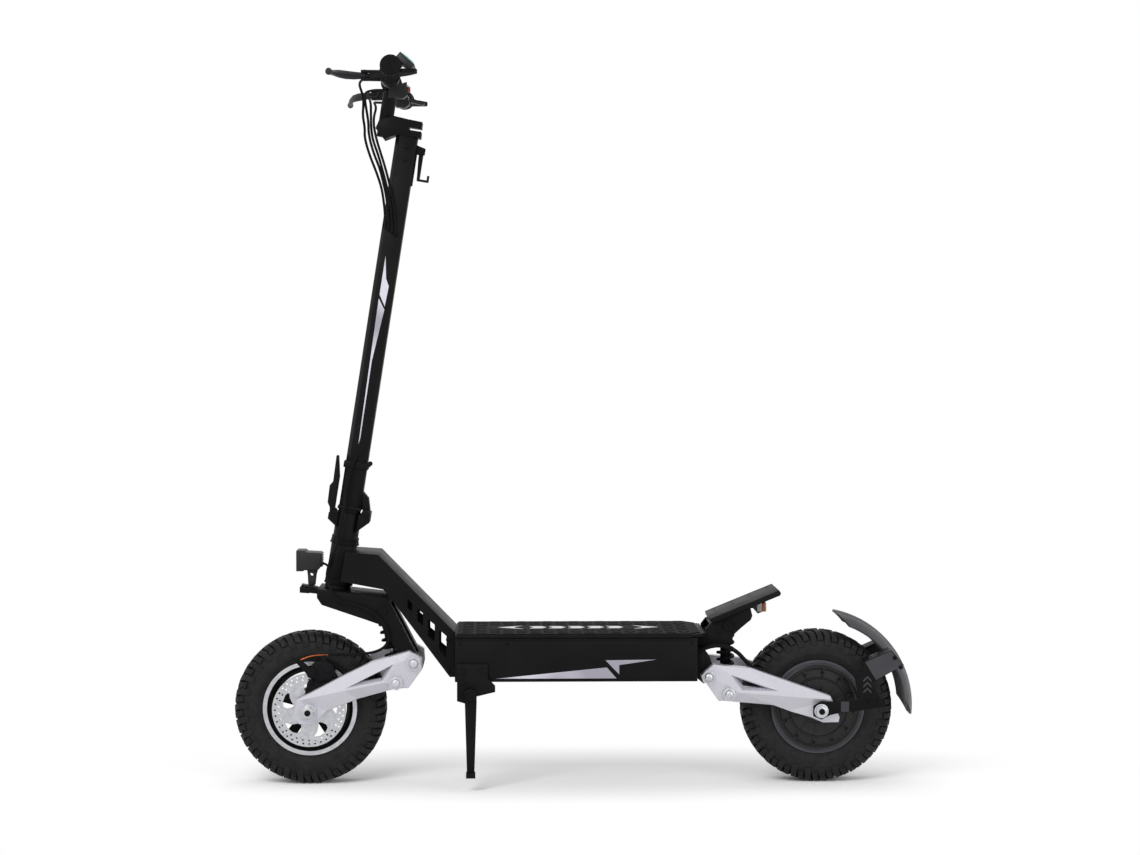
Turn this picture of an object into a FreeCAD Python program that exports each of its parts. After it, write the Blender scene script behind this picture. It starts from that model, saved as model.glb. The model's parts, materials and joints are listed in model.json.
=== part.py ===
import FreeCAD, Part
import math
import os
import re
import Sketcher

# Electric kick scooter. Millimetres. Forward is -X, up is +Z, and the wheels stand on Z = 0.
# Pieces that steer are drawn upright round the steering axis and leaned back by the rake.

Vector = FreeCAD.Vector
Rotation = FreeCAD.Rotation
AXES = {"X": Vector(1, 0, 0), "Y": Vector(0, 1, 0), "Z": Vector(0, 0, 1)}

SIZES = {
    # wheels
    "tyre_radius": 133.5, "tyre_width": 76, "crown_width": 46, "rim_radius": 82, "rim_width": 68,
    "front_axle_x": -465, "rear_axle_x": 427, "axle_radius": 6, "hub_radius": 24, "fit": 0.1,
    "slack": 0.5, "disc_radius": 64.5, "disc_thick": 2, "disc_y": 55, "cover_radius": 74,
    # steering axis: it passes the fold seat and leans back
    "rake": 8.9, "seat_x": -403.1, "seat_z": 438.7, "head_radius": 23, "steerer_radius": 15,
    "head_bottom": -88, "head_top": -18, "crown_top": -98, "fold_u": 29.2, "fold_w": 37.5,
    "latch_u": -27, "latch_w": 29.8, "pin_radius": 4,
    # stem and bar
    "stem_deep": 38.3, "stem_wide": 46, "stem_top": 704, "post_u": -41,
    "post_radius": 12.5, "bar_w": 792, "bar_radius": 11.1, "bar_width": 606, "bar_bend": 62,
    "bar_sweep": 2.9, "grip_length": 124, "grip_radius": 16, "hook_u": 29, "hook_drop": 21.1,
    # suspension joints, X and Z of each bolt
    "front_pivot_x": -281.7, "front_pivot_z": 218.3, "front_eye_x": -312.7, "front_eye_z": 184.1,
    "front_top_x": -336.4, "front_top_z": 308.1, "rear_pivot_x": 231.2, "rear_pivot_z": 192.7,
    "rear_eye_x": 266.9, "rear_eye_z": 162.7, "rear_top_x": 267.1, "rear_top_z": 279.2,
    "arm_inner": 62, "arm_thick": 24, "shock_radius": 17, "rod_radius": 6, "shock_bolt": 4,
    # frame
    "neck_width": 142, "neck_wall": 5, "deck_front": -210, "deck_back": 210, "deck_width": 210,
    "deck_bottom": 188, "lid_bottom": 263, "mat_bottom": 269, "deck_top": 271, "case_wall": 4,
    "yoke_width": 123, "yoke_wall": 8, "rest_width": 108, "lid_tail": 17,
    # kickstand
    "stand_x": -182.6, "stand_z": 165.6, "stand_tip_z": 24, "stand_out": 13,
    # fender
    "fender_radius": 171.5, "fender_thick": 2.5, "fender_width": 92, "plate_thick": 4,
}

doc = FreeCAD.newDocument("kick_scooter")
sheet = doc.addObject("Spreadsheet::Sheet", "Sizes")
for row, (alias, number) in enumerate(SIZES.items(), 1):
    sheet.set(f"A{row}", alias.replace("_", " "))
    sheet.set(f"B{row}", str(number))
    sheet.setAlias(f"B{row}", alias)
doc.recompute()
nodes = []


# ---- helpers ----

def formula(text):
    """An expression in which every alias is looked up in the sheet."""
    return re.sub(r"[a-z][a-z_]*", lambda word: ("Sizes." if word[0] in SIZES else "") + word[0],
                  str(text))


def value(text):
    """The number that a formula gives now."""
    return float(sheet.evalExpression(formula(text)))


def bind(thing, **formulas):
    for name, text in formulas.items():
        thing.setExpression(name.replace("__", "."), formula(text))
    return thing


def place(thing, x="0", y="0", z="0", about="Z", angle="0"):
    thing.Placement = FreeCAD.Placement(Vector(), Rotation(AXES[about], 1))
    return bind(thing, Placement__Base__x=x, Placement__Base__y=y, Placement__Base__z=z,
                Placement__Rotation__Angle=angle)


def steer(thing):
    """Stands a piece that was drawn round the steering axis on the fold seat."""
    return place(thing, "seat_x", "0", "seat_z", "Y", "rake")


def node(thing):
    """Keeps an object as a sub-part; its label names its file."""
    nodes.append(thing)
    return thing


def steer_point(u, w):
    """World X and Z formulas of a point given ahead of and along the steering axis."""
    return (f"seat_x + ({u}) * cos(rake) + ({w}) * sin(rake)",
            f"seat_z - ({u}) * sin(rake) + ({w}) * cos(rake)")


def around(x, z, *offsets):
    """Outline corners measured from a bolt or an axle."""
    return [(f"{x} + {dx}", f"{z} + {dz}") for dx, dz in offsets]


def new_body(label):
    return doc.addObject("PartDesign::Body", label)


def new_sketch(body, plane, offset="0"):
    sketch = body.newObject("Sketcher::SketchObject", body.Name + "_sketch")
    origin_plane = [item for item in body.Origin.OriginFeatures if item.Role == plane + "_Plane"][0]
    sketch.AttachmentSupport = (origin_plane, [""])
    sketch.MapMode = "FlatFace"
    return bind(sketch, AttachmentOffset__Base__z=offset)


def hold(sketch, kind, geometry, point, text):
    """A distance from the sketch's origin, bound to its formula."""
    index = sketch.addConstraint(Sketcher.Constraint(kind, -1, 1, geometry, point, value(text)))
    sketch.setExpression(f"Constraints[{index}]", formula(text))


def outline(body, plane, corners, offset="0"):
    """A closed sketch with straight sides."""
    sketch = new_sketch(body, plane, offset)
    points = [Vector(value(x), value(y), 0) for x, y in corners]
    count = len(points)
    for index in range(count):
        sketch.addGeometry(Part.LineSegment(points[index], points[(index + 1) % count]))
    for index in range(count):
        sketch.addConstraint(Sketcher.Constraint("Coincident", index, 2, (index + 1) % count, 1))
        hold(sketch, "DistanceX", index, 1, corners[index][0])
        hold(sketch, "DistanceY", index, 1, corners[index][1])
    return sketch


def circles(body, plane, centres, radius, offset="0"):
    sketch = new_sketch(body, plane, offset)
    for index, (x, y) in enumerate(centres):
        sketch.addGeometry(Part.Circle(Vector(value(x), value(y), 0), Vector(0, 0, 1), value(radius)))
        hold(sketch, "DistanceX", index, 3, x)
        hold(sketch, "DistanceY", index, 3, y)
        number = sketch.addConstraint(Sketcher.Constraint("Radius", index, value(radius)))
        sketch.setExpression(f"Constraints[{number}]", formula(radius))
    return sketch


def pad(body, sketch, length, both=True):
    """Adds material, to both sides of the sketch or along its normal."""
    feature = body.newObject("PartDesign::Pad", body.Name + "_pad")
    feature.Profile = sketch
    feature.SideType = "Symmetric" if both else "One side"
    return bind(feature, Length=length)


def pocket(body, sketch, length="2000"):
    """Cuts to both sides of the sketch."""
    feature = body.newObject("PartDesign::Pocket", body.Name + "_pocket")
    feature.Profile = sketch
    feature.SideType = "Symmetric"
    return bind(feature, Length=length)


def revolve(body, sketch, axis="H_Axis", angle="360"):
    feature = body.newObject("PartDesign::Revolution", body.Name + "_turned")
    feature.Profile = sketch
    feature.ReferenceAxis = (sketch, [axis])
    return bind(feature, Angle=angle)


def turned(label, corners, x="0", y="0", z="0"):
    """A piece turned about a line along Y; corners are (Y, radius)."""
    body = new_body(label)
    revolve(body, outline(body, "YZ", corners))
    return place(body, x, y, z)


def post(label, corners):
    """A piece turned about Z; corners are (radius, Z)."""
    body = new_body(label)
    revolve(body, outline(body, "XZ", corners), "V_Axis")
    return body


def plate(label, corners, width):
    """A flat piece, centred across the scooter."""
    body = new_body(label)
    pad(body, outline(body, "XZ", corners), width)
    return body


def box(label, long, wide, tall, x, y, z):
    """A block from its sizes and its low corner."""
    block = bind(doc.addObject("Part::Box", label), Length=long, Width=wide, Height=tall)
    return place(block, x, y, z)


def cylinder(label, radius, length, x, y, z, about="X", angle="-90"):
    """A rod that starts at its place; as given it runs along +Y."""
    rod = bind(doc.addObject("Part::Cylinder", label), Radius=radius, Height=length)
    return place(rod, x, y, z, about, angle)


def hexagon(label, radius, length, x, y, z):
    nut = bind(doc.addObject("Part::Prism", label), Circumradius=radius, Height=length)
    nut.Polygon = 6
    return place(nut, x, y, z, "X", "-90")


def fuse(label, *shapes):
    joined = doc.addObject("Part::MultiFuse", label)
    joined.Shapes = list(shapes)
    return joined


def cut(label, base, tool):
    piece = doc.addObject("Part::Cut", label)
    piece.Base = base
    piece.Tool = tool
    return piece


def group(label, *shapes):
    """Separate solids of one kind, kept in one node."""
    together = doc.addObject("Part::Compound", label)
    together.Links = list(shapes)
    return together


def mirror(label, source):
    """The same piece on the other side of the scooter."""
    other = doc.addObject("Part::Mirroring", label)
    other.Source = source
    other.Normal = AXES["Y"]
    return other


def bolt(label, x, z, half, shank, head="9", thick="5"):
    """A bolt right across the scooter, with a round head outside each half width."""
    rod = cylinder(label + "_shank", shank, f"2 * ({half})", x, f"-({half})", z)
    near = cylinder(label + "_head", head, thick, x, f"-({half}) - ({thick})", z)
    far = cylinder(label + "_nut", head, thick, x, half, z)
    return fuse(label, rod, near, far)


# ---- wheels ----

def tyre(label, x):
    """Tyre with a flat crown, seated on the rim's flanges."""
    half = "tyre_width / 2"
    corners = [("-crown_width / 2", "tyre_radius"), ("crown_width / 2", "tyre_radius"),
               (half + " - 4", "tyre_radius - 7"), (half, "tyre_radius - 22"),
               (half + " - 1", "rim_radius + 14"), ("rim_width / 2 - 1", "rim_radius + fit"),
               ("-rim_width / 2 + 1", "rim_radius + fit"), ("-(" + half + ") + 1", "rim_radius + 14"),
               ("-(" + half + ")", "tyre_radius - 22"), ("-(" + half + ") + 4", "tyre_radius - 7")]
    return node(turned(label, corners, x, "0", "tyre_radius"))


def front_rim():
    """Deep channel rim with five spokes and a hub."""
    half = "rim_width / 2"
    corners = [(half, "rim_radius"), (half + " - 3", "rim_radius"), (half + " - 6", "rim_radius - 8"),
               ("12", "rim_radius - 14"), ("-12", "rim_radius - 14"),
               ("-(" + half + ") + 6", "rim_radius - 8"),
               ("-(" + half + ") + 3", "rim_radius"), ("-(" + half + ")", "rim_radius"),
               ("-(" + half + ")", "rim_radius - 4"), ("-(" + half + ") + 4", "rim_radius - 13"),
               ("-14", "rim_radius - 19"), ("14", "rim_radius - 19"), (half + " - 4", "rim_radius - 13"),
               (half, "rim_radius - 4")]
    body = turned("front_rim", corners, "front_axle_x", "0", "tyre_radius")
    hub = [("-disc_y + disc_thick / 2 + fit", "hub_radius"), ("46", "hub_radius"),
           ("46", "axle_radius + 7"), ("-disc_y + disc_thick / 2 + fit", "axle_radius + 7")]
    revolve(body, outline(body, "YZ", hub))
    spoke = outline(body, "XZ", [("-7", "hub_radius - 2"), ("7", "hub_radius - 2"),
                                 ("9", "rim_radius - 16"), ("-9", "rim_radius - 16")])
    first = pad(body, spoke, "16")
    pattern = body.newObject("PartDesign::PolarPattern", "front_rim_spokes")
    pattern.Originals = [first]
    pattern.Axis = (spoke, ["N_Axis"])
    pattern.Angle = 360
    pattern.Occurrences = 5
    body.Tip = pattern
    return node(body)


def brake_disc(label, x, y):
    """Ventilated disc: two rings of small holes and five large windows."""
    blank = cylinder(label + "_blank", "disc_radius", "disc_thick", x, f"{y} - disc_thick / 2",
                     "tyre_radius")
    bore = cylinder(label + "_bore", "axle_radius + 8", "20", x, f"{y} - 10", "tyre_radius")
    cutters = [bore]
    for ring, (reach, holes) in enumerate([("disc_radius - 5", 36), ("disc_radius - 12", 30)]):
        for index in range(holes):
            angle = 360 / holes * index
            cutters.append(cylinder(f"{label}_hole_{ring}_{index}", "1.8", "20",
                                    f"{x} + ({reach}) * cos({angle})",
                                    f"{y} - 10", f"tyre_radius + ({reach}) * sin({angle})"))
    for index in range(5):
        angle = 72 * index + 20
        cutters.append(cylinder(f"{label}_window_{index}", "8.5", "20",
                                f"{x} + hub_radius * 1.55 * cos({angle})",
                                f"{y} - 10", f"tyre_radius + hub_radius * 1.55 * sin({angle})"))
    return node(cut(label, blank, group(label + "_cutters", *cutters)))


def rear_wheel():
    """Hub motor shell with magnets, two covers and the fixed stator on the axle."""
    half = "rim_width / 2"
    inner = "cover_radius + fit"
    shell = [("-(" + half + ")", "rim_radius"), ("-(" + half + ") + 3", "rim_radius"),
             ("-26", "rim_radius - 4"),
             ("26", "rim_radius - 4"), (half + " - 3", "rim_radius"), (half, "rim_radius"), (half, inner),
             ("18", inner), ("18", "cover_radius - 5"), ("-18", "cover_radius - 5"), ("-18", inner),
             ("-(" + half + ")", inner)]
    node(turned("hub_motor_shell", shell, "rear_axle_x", "0", "tyre_radius"))
    covers = []
    for label, side in (("motor_cover_left", "-"), ("motor_cover_right", "")):
        cover = [(side + "24", "axle_radius + 14"), (side + "24", "cover_radius"),
                 (side + "36", "cover_radius"),
                 (side + "40", "cover_radius - 8"), (side + "42", "52"), (side + "45", "50"),
                 (side + "45", "axle_radius + 14")]
        covers.append(turned(label, cover, "rear_axle_x", "0", "tyre_radius"))
    rings = bearings("rear_bearings", "rear_axle_x", "axle_radius + fit", "axle_radius + 14 - fit", "26")
    node(group("motor_covers", *covers, rings))
    stator = [("-16", "cover_radius - 6"), ("16", "cover_radius - 6"), ("16", "axle_radius + 20"),
              ("12", "axle_radius + fit"),
              ("-12", "axle_radius + fit"), ("-16", "axle_radius + 20")]
    node(turned("motor_stator", stator, "rear_axle_x", "0", "tyre_radius"))


def bearings(label, x, inner, outer, near, thick="9"):
    """A pair of ball bearings, each kept as one ring."""
    rings = []
    for side, start in (("left", f"-({near}) - ({thick})"), ("right", near)):
        ring = cylinder(f"{label}_{side}_ring", outer, thick, x, start, "tyre_radius")
        hole = cylinder(f"{label}_{side}_hole", inner, "200", x, "-100", "tyre_radius")
        rings.append(cut(f"{label}_{side}", ring, hole))
    return group(label, *rings)


def axle(label, x, stack="0"):
    """Wheel axle with a flanged hex nut outside each arm and what is stacked on it."""
    outer = f"arm_inner + arm_thick + {stack}"
    pieces = [cylinder(label + "_rod", "axle_radius", f"2 * ({outer} + 9)", x, f"-({outer}) - 9",
                       "tyre_radius")]
    for side, start in (("left", f"-({outer}) - 6.5"), ("right", f"{outer} + 0.5")):
        pieces.append(hexagon(f"{label}_{side}_nut", "11", "6", x, start, "tyre_radius"))
    return fuse(label, *pieces)


# ---- suspension ----

def arm_pair(prefix, corners, window, bores):
    """Left and right machined arms with a window and bolt bores."""
    left = new_body(prefix + "_arm_left")
    pad(left, outline(left, "XZ", corners, "arm_inner"), "arm_thick", both=False)
    pocket(left, outline(left, "XZ", window))
    for bore_x, bore_z, radius in bores:
        pocket(left, circles(left, "XZ", [(bore_x, bore_z)], radius))
    return node(group(prefix + "_arms", left, mirror(prefix + "_arm_right", left)))


def front_arms():
    corners = around("front_axle_x", "tyre_radius", (-26.5, -8), (-20.1, 21.1), (62.3, 64.2))
    corners += around("front_eye_x", "front_eye_z", (-41.9, 36.5))
    corners += around("front_pivot_x", "front_pivot_z", (-8.3, 21.3), (13.3, 8.6), (14.5, -10.4))
    corners += around("front_eye_x", "front_eye_z", (21.5, -10.4), (11.3, -10.6), (-11.5, -14.2))
    corners += around("front_axle_x", "tyre_radius", (85.1, 21.1), (31.8, 0.8), (19.1, -11), (4, -22),
                      (-16, -21))
    window = around("front_eye_x", "front_eye_z", (-64.7, 1.5), (-14, 26.2), (-25.4, 6.5))
    arm_pair("front", corners, window, [
        ("front_axle_x", "tyre_radius", "axle_radius + fit"),
        ("front_pivot_x", "front_pivot_z", "shock_bolt + 1 + fit"),
                                        ("front_eye_x", "front_eye_z", "shock_bolt + fit")])


def rear_arms():
    corners = around("rear_pivot_x", "rear_pivot_z", (-13.7, 3.2), (7.6, 21.7))
    corners += around("rear_eye_x", "rear_eye_z", (35.3, 45.5))
    corners += around("rear_axle_x", "tyre_radius", (16.3, 25.3), (32.8, -11.9), (31.3, -20.9),
                      (4, -21.5), (-14, -14),
                      (-53.5, -2.7), (-80.8, 7.7))
    corners += around("rear_eye_x", "rear_eye_z", (-10.5, -13.1), (-17.6, -13.6))
    window = around("rear_eye_x", "rear_eye_z", (11.4, 28.7), (64.5, 9.4), (26.5, 12))
    arm_pair("rear", corners, window, [
        ("rear_axle_x", "tyre_radius", "axle_radius + fit"),
        ("rear_pivot_x", "rear_pivot_z", "shock_bolt + 1 + fit"),
                                       ("rear_eye_x", "rear_eye_z", "shock_bolt + fit")])


def suspension_bolts(prefix):
    """Wheel axle, pivot bolt and lower shock bolt across both arms."""
    half = "arm_inner + arm_thick"
    pivot = bolt(prefix + "_pivot_bolt", f"{prefix}_pivot_x", f"{prefix}_pivot_z", half, "shock_bolt + 1",
                 "9", "3")
    eye = bolt(prefix + "_eye_bolt", f"{prefix}_eye_x", f"{prefix}_eye_z", half, "shock_bolt", "7.5", "3")
    stack = "plate_thick + slack / 2" if prefix == "rear" else "0"
    return node(group(prefix + "_axle_and_bolts", axle(prefix + "_axle", prefix + "_axle_x", stack),
                      pivot, eye))


def shock(prefix):
    """Coil-over shock: an upper body with its spring, and a lower rod with the eye.

    It is drawn along Z from the top bolt.
    """
    rise = f"({prefix}_top_z - {prefix}_eye_z)"
    run = f"({prefix}_eye_x - {prefix}_top_x)"
    length = f"sqrt({rise} * {rise} + {run} * {run})"
    lean = f"atan({run} / {rise})"
    upper = post(prefix + "_shock_body", [("0", "-9"), ("9", "-9"), ("9", "-24"), ("shock_radius", "-24"),
                                          ("shock_radius", f"-({length}) + 42"),
                                          ("rod_radius + fit", f"-({length}) + 42"),
                                          ("rod_radius + fit", "-30"), ("0", "-30")])
    pad(upper, circles(upper, "XZ", [("0", "0")], "10"), "22")
    pocket(upper, circles(upper, "XZ", [("0", "0")], "shock_bolt + fit"), "60")
    node(place(upper, prefix + "_top_x", "0", prefix + "_top_z", "Y", "-(" + lean + ")"))
    rod = post(prefix + "_shock_rod",
               [("0", "8"), ("rod_radius", "8"), ("rod_radius", f"({length}) - 42"),
                ("0", f"({length}) - 42")])
    pad(rod, circles(rod, "XZ", [("0", "0")], "10"), "20")
    pocket(rod, circles(rod, "XZ", [("0", "0")], "shock_bolt + slack"), "60")
    node(place(rod, prefix + "_eye_x", "0", prefix + "_eye_z", "Y", "-(" + lean + ")"))


# ---- steering ----

def fork_yoke():
    """Top plate, two side plates and a back flange that carries the front suspension."""
    top = around("front_top_x", "front_top_z", (-132, 35.5), (-114.1, 22.3), (-105.8, 9.8), (-30, -16),
                 (-1.9, -25.9), (1.6, -35.8))
    leg = around("front_pivot_x", "front_pivot_z", (-17, 0), (-11, -14), (4, -16), (15.5, -10.3))
    back = around("front_top_x", "front_top_z", (9, 17.7), (9, 22.3), (-114, 36.6))
    body = new_body("yoke_plates")
    pad(body, outline(body, "XZ", top[1:] + leg + back), "yoke_width")
    front = [("seat_x - 80", "345.7"), ("seat_x - 80", "336"), ("seat_x - 40", "333"),
             ("seat_x - 40", "341")]
    pad(body, outline(body, "XZ", front), "52")
    hollow = around("front_top_x", "front_top_z", (-130, 27.5), (0, 12), (0, 2))
    hollow += around("front_pivot_x", "front_pivot_z", (6, 5), (6, -40), (-60, -40), (-190, 40))
    pocket(body, outline(body, "XZ", hollow), "yoke_width - 2 * yoke_wall")
    slot = around("front_top_x", "front_top_z", (-60, 10), (20, 10), (90, -82), (-60, -82))
    pocket(body, outline(body, "XZ", slot), "2 * shock_radius + 14")
    for x, z, radius in (("front_pivot_x", "front_pivot_z", "shock_bolt + 1 + fit"),
                         ("front_top_x", "front_top_z", "shock_bolt + fit")):
        pocket(body, circles(body, "XZ", [(x, z)], radius))
    bore = cylinder("fork_yoke_bore", "steerer_radius", "60", "0", "0", "crown_top - 40", "Z", "0")
    return node(cut("fork_yoke", body, steer(group("fork_yoke_bore_place", bore))))


def head_parts():
    """The two headset cups, and the steerer that turns inside them with its crown race."""
    cups = []
    for name, low in (("lower", "head_bottom"), ("upper", "head_top")):
        ring = [("steerer_radius + fit", low), ("head_radius + 1.5", low),
                ("head_radius + 1.5", low + " + 6"), ("steerer_radius + fit", low + " + 6")]
        cups.append(post(f"headset_{name}_cup", ring))
    node(steer(group("headset_cups", *cups)))
    stem = [("0", "crown_top - 6"), ("steerer_radius - fit", "crown_top - 6"),
            ("steerer_radius - fit", "crown_top + fit"), ("head_radius + 1", "crown_top + fit"),
            ("head_radius - 1", "head_bottom - fit"), ("steerer_radius - fit", "head_bottom - fit"),
            ("steerer_radius - fit", "28"), ("0", "28")]
    node(steer(post("steerer_tube", stem)))


def fold_base():
    """Collar clamped on the steerer, with the hinge ears behind and the latch ears in front."""
    body = post("fold_base",
                [("steerer_radius", "head_top + 6 + fit"), ("head_radius + 1", "head_top + 6 + fit"),
                              ("head_radius + 1", "-6"), ("head_radius - 1", "-4"),
                 ("head_radius - 1", "fold_w"), ("steerer_radius", "fold_w")])
    ear = outline(body,
                  "XZ",
                  [("head_radius - 5", "6"), ("fold_u + 9", "fold_w - 12"), ("fold_u + 9", "fold_w + 6"),
                               ("fold_u + 3", "fold_w + 9"), ("fold_u - 5", "fold_w + 8"),
                   ("fold_u - 7", "fold_w - 0.5"), ("head_radius - 5", "fold_w - 0.5")])
    pad(body, ear, "48")
    front = outline(body,
                    "XZ",
                    [("latch_u - 8", "latch_w - 8"), ("-18", "latch_w - 20"), ("-18", "fold_w - 0.5"),
                     ("latch_u - 2", "fold_w - 0.5"),
                                 ("latch_u - 8", "latch_w + 3")])
    pad(body, front, "34")
    knuckle_gap = outline(body,
                          "XZ",
                          [("fold_u - 11", "fold_w - 11"), ("fold_u + 12", "fold_w - 11"),
                           ("fold_u + 12", "fold_w + 12"), ("fold_u - 11", "fold_w + 12")])
    pocket(body, knuckle_gap, "24.6")
    latch_gap = outline(body,
                        "XZ",
                        [("latch_u - 12", "latch_w - 12"), ("latch_u + 8", "latch_w - 12"),
                         ("latch_u + 8", "fold_w + 5"), ("latch_u - 12", "fold_w + 5")])
    pocket(body, latch_gap, "20.6")
    pocket(body, circles(body, "XZ", [("fold_u", "fold_w")], "pin_radius + fit"))
    pocket(body, circles(body, "XZ", [("latch_u", "latch_w")], "3 + fit"))
    node(steer(body))
    fold_pin = cylinder("fold_pin", "pin_radius", "52", "fold_u", "-26", "fold_w")
    latch_pin = cylinder("latch_pin", "3", "37", "latch_u", "-18.5", "latch_w")
    shock_bolt = bolt("front_shock_bolt", "front_top_x", "front_top_z", "yoke_width / 2", "shock_bolt",
                      "8", "3")
    node(group("steering_pins", steer(group("fold_pins", fold_pin, latch_pin)), shock_bolt))


def latch_lever():
    """Front latch: a nose on the pin, a bar up the front of the stem and a finger tab."""
    body = new_body("latch_lever")
    shape = [("latch_u - 6", "latch_w - 6"), ("latch_u + 4", "latch_w - 6"),
             ("latch_u + 5", "fold_w + 2"), ("latch_u + 1", "fold_w + 4"),
             ("latch_u + 1", "fold_w + 60"), ("latch_u - 6", "fold_w + 96"),
             ("latch_u - 10", "fold_w + 96"), ("latch_u - 9", "fold_w + 50"),
             ("latch_u - 14", "fold_w + 42"), ("latch_u - 13", "fold_w + 12"),
             ("latch_u - 8", "fold_w + 4")]
    pad(body, outline(body, "XZ", shape), "20")
    pocket(body, circles(body, "XZ", [("latch_u", "latch_w")], "3 + fit"))
    return node(steer(body))


def headlight():
    """Headlight box on a bent bracket from the yoke's front lip."""
    stand = plate("headlight_bracket",
                  [("-482", "345.8"), ("-456", "343"), ("-456", "346"), ("-467", "347.5"),
                   ("-467", "372"), ("-472", "372"), ("-472", "349"), ("-482", "348.8")],
                  "30")
    case = plate("headlight_case",
                 [("-487", "373"), ("-450", "373"), ("-447", "377"), ("-447", "404"), ("-452", "410"),
                  ("-487", "410")], "52")
    pocket(case,
           outline(case, "XZ", [("-490", "377"), ("-484", "377"), ("-484", "406"), ("-490", "406")]),
           "44")
    pad(case, outline(case, "XZ", [("-474", "373"), ("-465", "373"), ("-465", "360"), ("-474", "360")]),
        "40")
    pocket(case,
           outline(case, "XZ", [("-480", "372.5"), ("-460", "372.5"), ("-460", "350"), ("-480", "350")]),
           "31")
    node(group("headlight_housing", stand, case))
    lens = plate("headlight_lens",
                 [("-489", "377.2"), ("-484.2", "377.2"), ("-484.2", "405.8"), ("-489", "405.8")], "43.6")
    node(lens)


# ---- stem and bar ----

def stem():
    """Lower block with the hinge knuckle, and the oval tube above it."""
    body = new_body("stem_section")
    half = "stem_wide / 2"
    deep = "stem_deep / 2"
    section = [("-(" + deep + ")", "-11"), ("-(" + deep + ") + 7", "-(" + half + ")"),
               (deep + " - 6", "-(" + half + ")"), (deep, "-(" + half + ") + 7"),
               (deep, half + " - 7"), (deep + " - 6", half), ("-(" + deep + ") + 7", half),
               ("-(" + deep + ")", "11")]
    pad(body, outline(body, "XY", section, "fold_w + 0.3"), "stem_top - fold_w - 0.3", both=False)
    inner = [(f"({x}) * 0.84", f"({y}) * 0.84") for x, y in section]
    hollow = body.newObject("PartDesign::Pocket", "stem_hollow")
    hollow.Profile = outline(body, "XY", inner, "stem_top - 12")
    bind(hollow, Length="stem_top - fold_w - 60")
    block = new_body("stem_hinge_block")
    shape = [("fold_u - 9.5", "fold_w + 12"), ("fold_u - 6", "fold_w + 7.5"),
             ("fold_u - 9", "fold_w - 1"), ("fold_u - 6", "fold_w - 7"),
             ("fold_u", "fold_w - 9"), ("fold_u + 7", "fold_w - 6"), ("fold_u + 9", "fold_w"),
             ("fold_u + 7", "fold_w + 8"), ("fold_u + 1", "fold_w + 30"), (deep + " - 2", "fold_w + 42"),
             (deep + " - 2", "fold_w + 12")]
    pad(block, outline(block, "XZ", shape), "24")
    pocket(block, circles(block, "XZ", [("fold_u", "fold_w")], "pin_radius + fit"))
    node(steer(fuse("stem_tube", body, block)))


def stem_cap():
    """Clamp on the stem's end that reaches forward to the bar post."""
    body = new_body("clamp_block")
    side = [("post_u - 15", "stem_top + 6"), ("post_u - 11", "stem_top + 21"), ("-27", "stem_top + 32"),
            ("-2", "stem_top + 30"), ("23", "stem_top + 29"),
            ("24.5", "stem_top + 1"), ("-19", "stem_top + 0.2"), ("-38", "stem_top - 11")]
    pad(body, outline(body, "XZ", side), "46")
    pocket(body, circles(body, "XY", [("post_u", "0")], "post_radius + fit"))
    slot = [("2", "stem_top + 18"), ("40", "stem_top + 18"), ("40", "stem_top + 12"),
            ("2", "stem_top + 12")]
    pocket(body, outline(body, "XZ", slot))
    rise = post("bar_post",
                [("0", "stem_top - 6"), ("post_radius", "stem_top - 6"),
                 ("post_radius", "bar_w - bar_radius - 6"), ("0", "bar_w - bar_radius - 6")])
    ring = circles(rise, "XZ", [("0", "bar_w")], "bar_radius + 7")
    pad(rise, ring, "44")
    pocket(rise, circles(rise, "XZ", [("0", "bar_w")], "bar_radius + fit"), "80")
    lift = place(rise, "post_u")
    node(steer(group("stem_clamp", body, lift)))


BAR_X, BAR_Z = steer_point("post_u", "bar_w")


def handlebar():
    """One tube: a straight middle and two ends swept back."""
    bend, half, angle = value("bar_bend"), value("bar_width / 2"), math.radians(value("bar_sweep"))
    centre = Vector(value(BAR_X), 0, value(BAR_Z))
    swept = [(math.sin(angle) * reach, bend + math.cos(angle) * reach) for reach in (half - bend, 12)]
    places = [(back, -out) for back, out in swept] + [(0, 12 - bend),
            (0, bend - 12)] + [(back, out) for back, out in swept[::-1]]
    points = [centre + Vector(back, out, 0) for back, out in places]
    edges = [Part.LineSegment(points[index], points[index + 1]).toShape() for index in range(5)]
    path = Part.Wire(edges)
    rings = []
    for radius in (value("bar_radius"), value("bar_radius") - 2.2):
        circle = Part.Wire(Part.Circle(points[0], Vector(points[1] - points[0]).normalize(),
                                       radius).toShape())
        rings.append(path.makePipeShell([circle], True, False, 2))
    bar = doc.addObject("Part::Feature", "handlebar")
    bar.Shape = rings[0].cut(rings[1])
    return node(bar)


def on_bar(thing, side, along):
    """Places a piece drawn along +Y on the swept end of the bar: side -1 left, +1 right."""
    reach = f"({along} - bar_bend) * sin(bar_sweep)"
    thing.Placement = FreeCAD.Placement(Vector(), Rotation(AXES["Z"], 1))
    return bind(thing, Placement__Base__x=f"({BAR_X}) + {reach}", Placement__Base__z=BAR_Z,
                Placement__Base__y=f"{side} * (bar_bend + ({along} - bar_bend) * cos(bar_sweep))",
                Placement__Rotation__Angle=f"-({side}) * bar_sweep")


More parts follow.
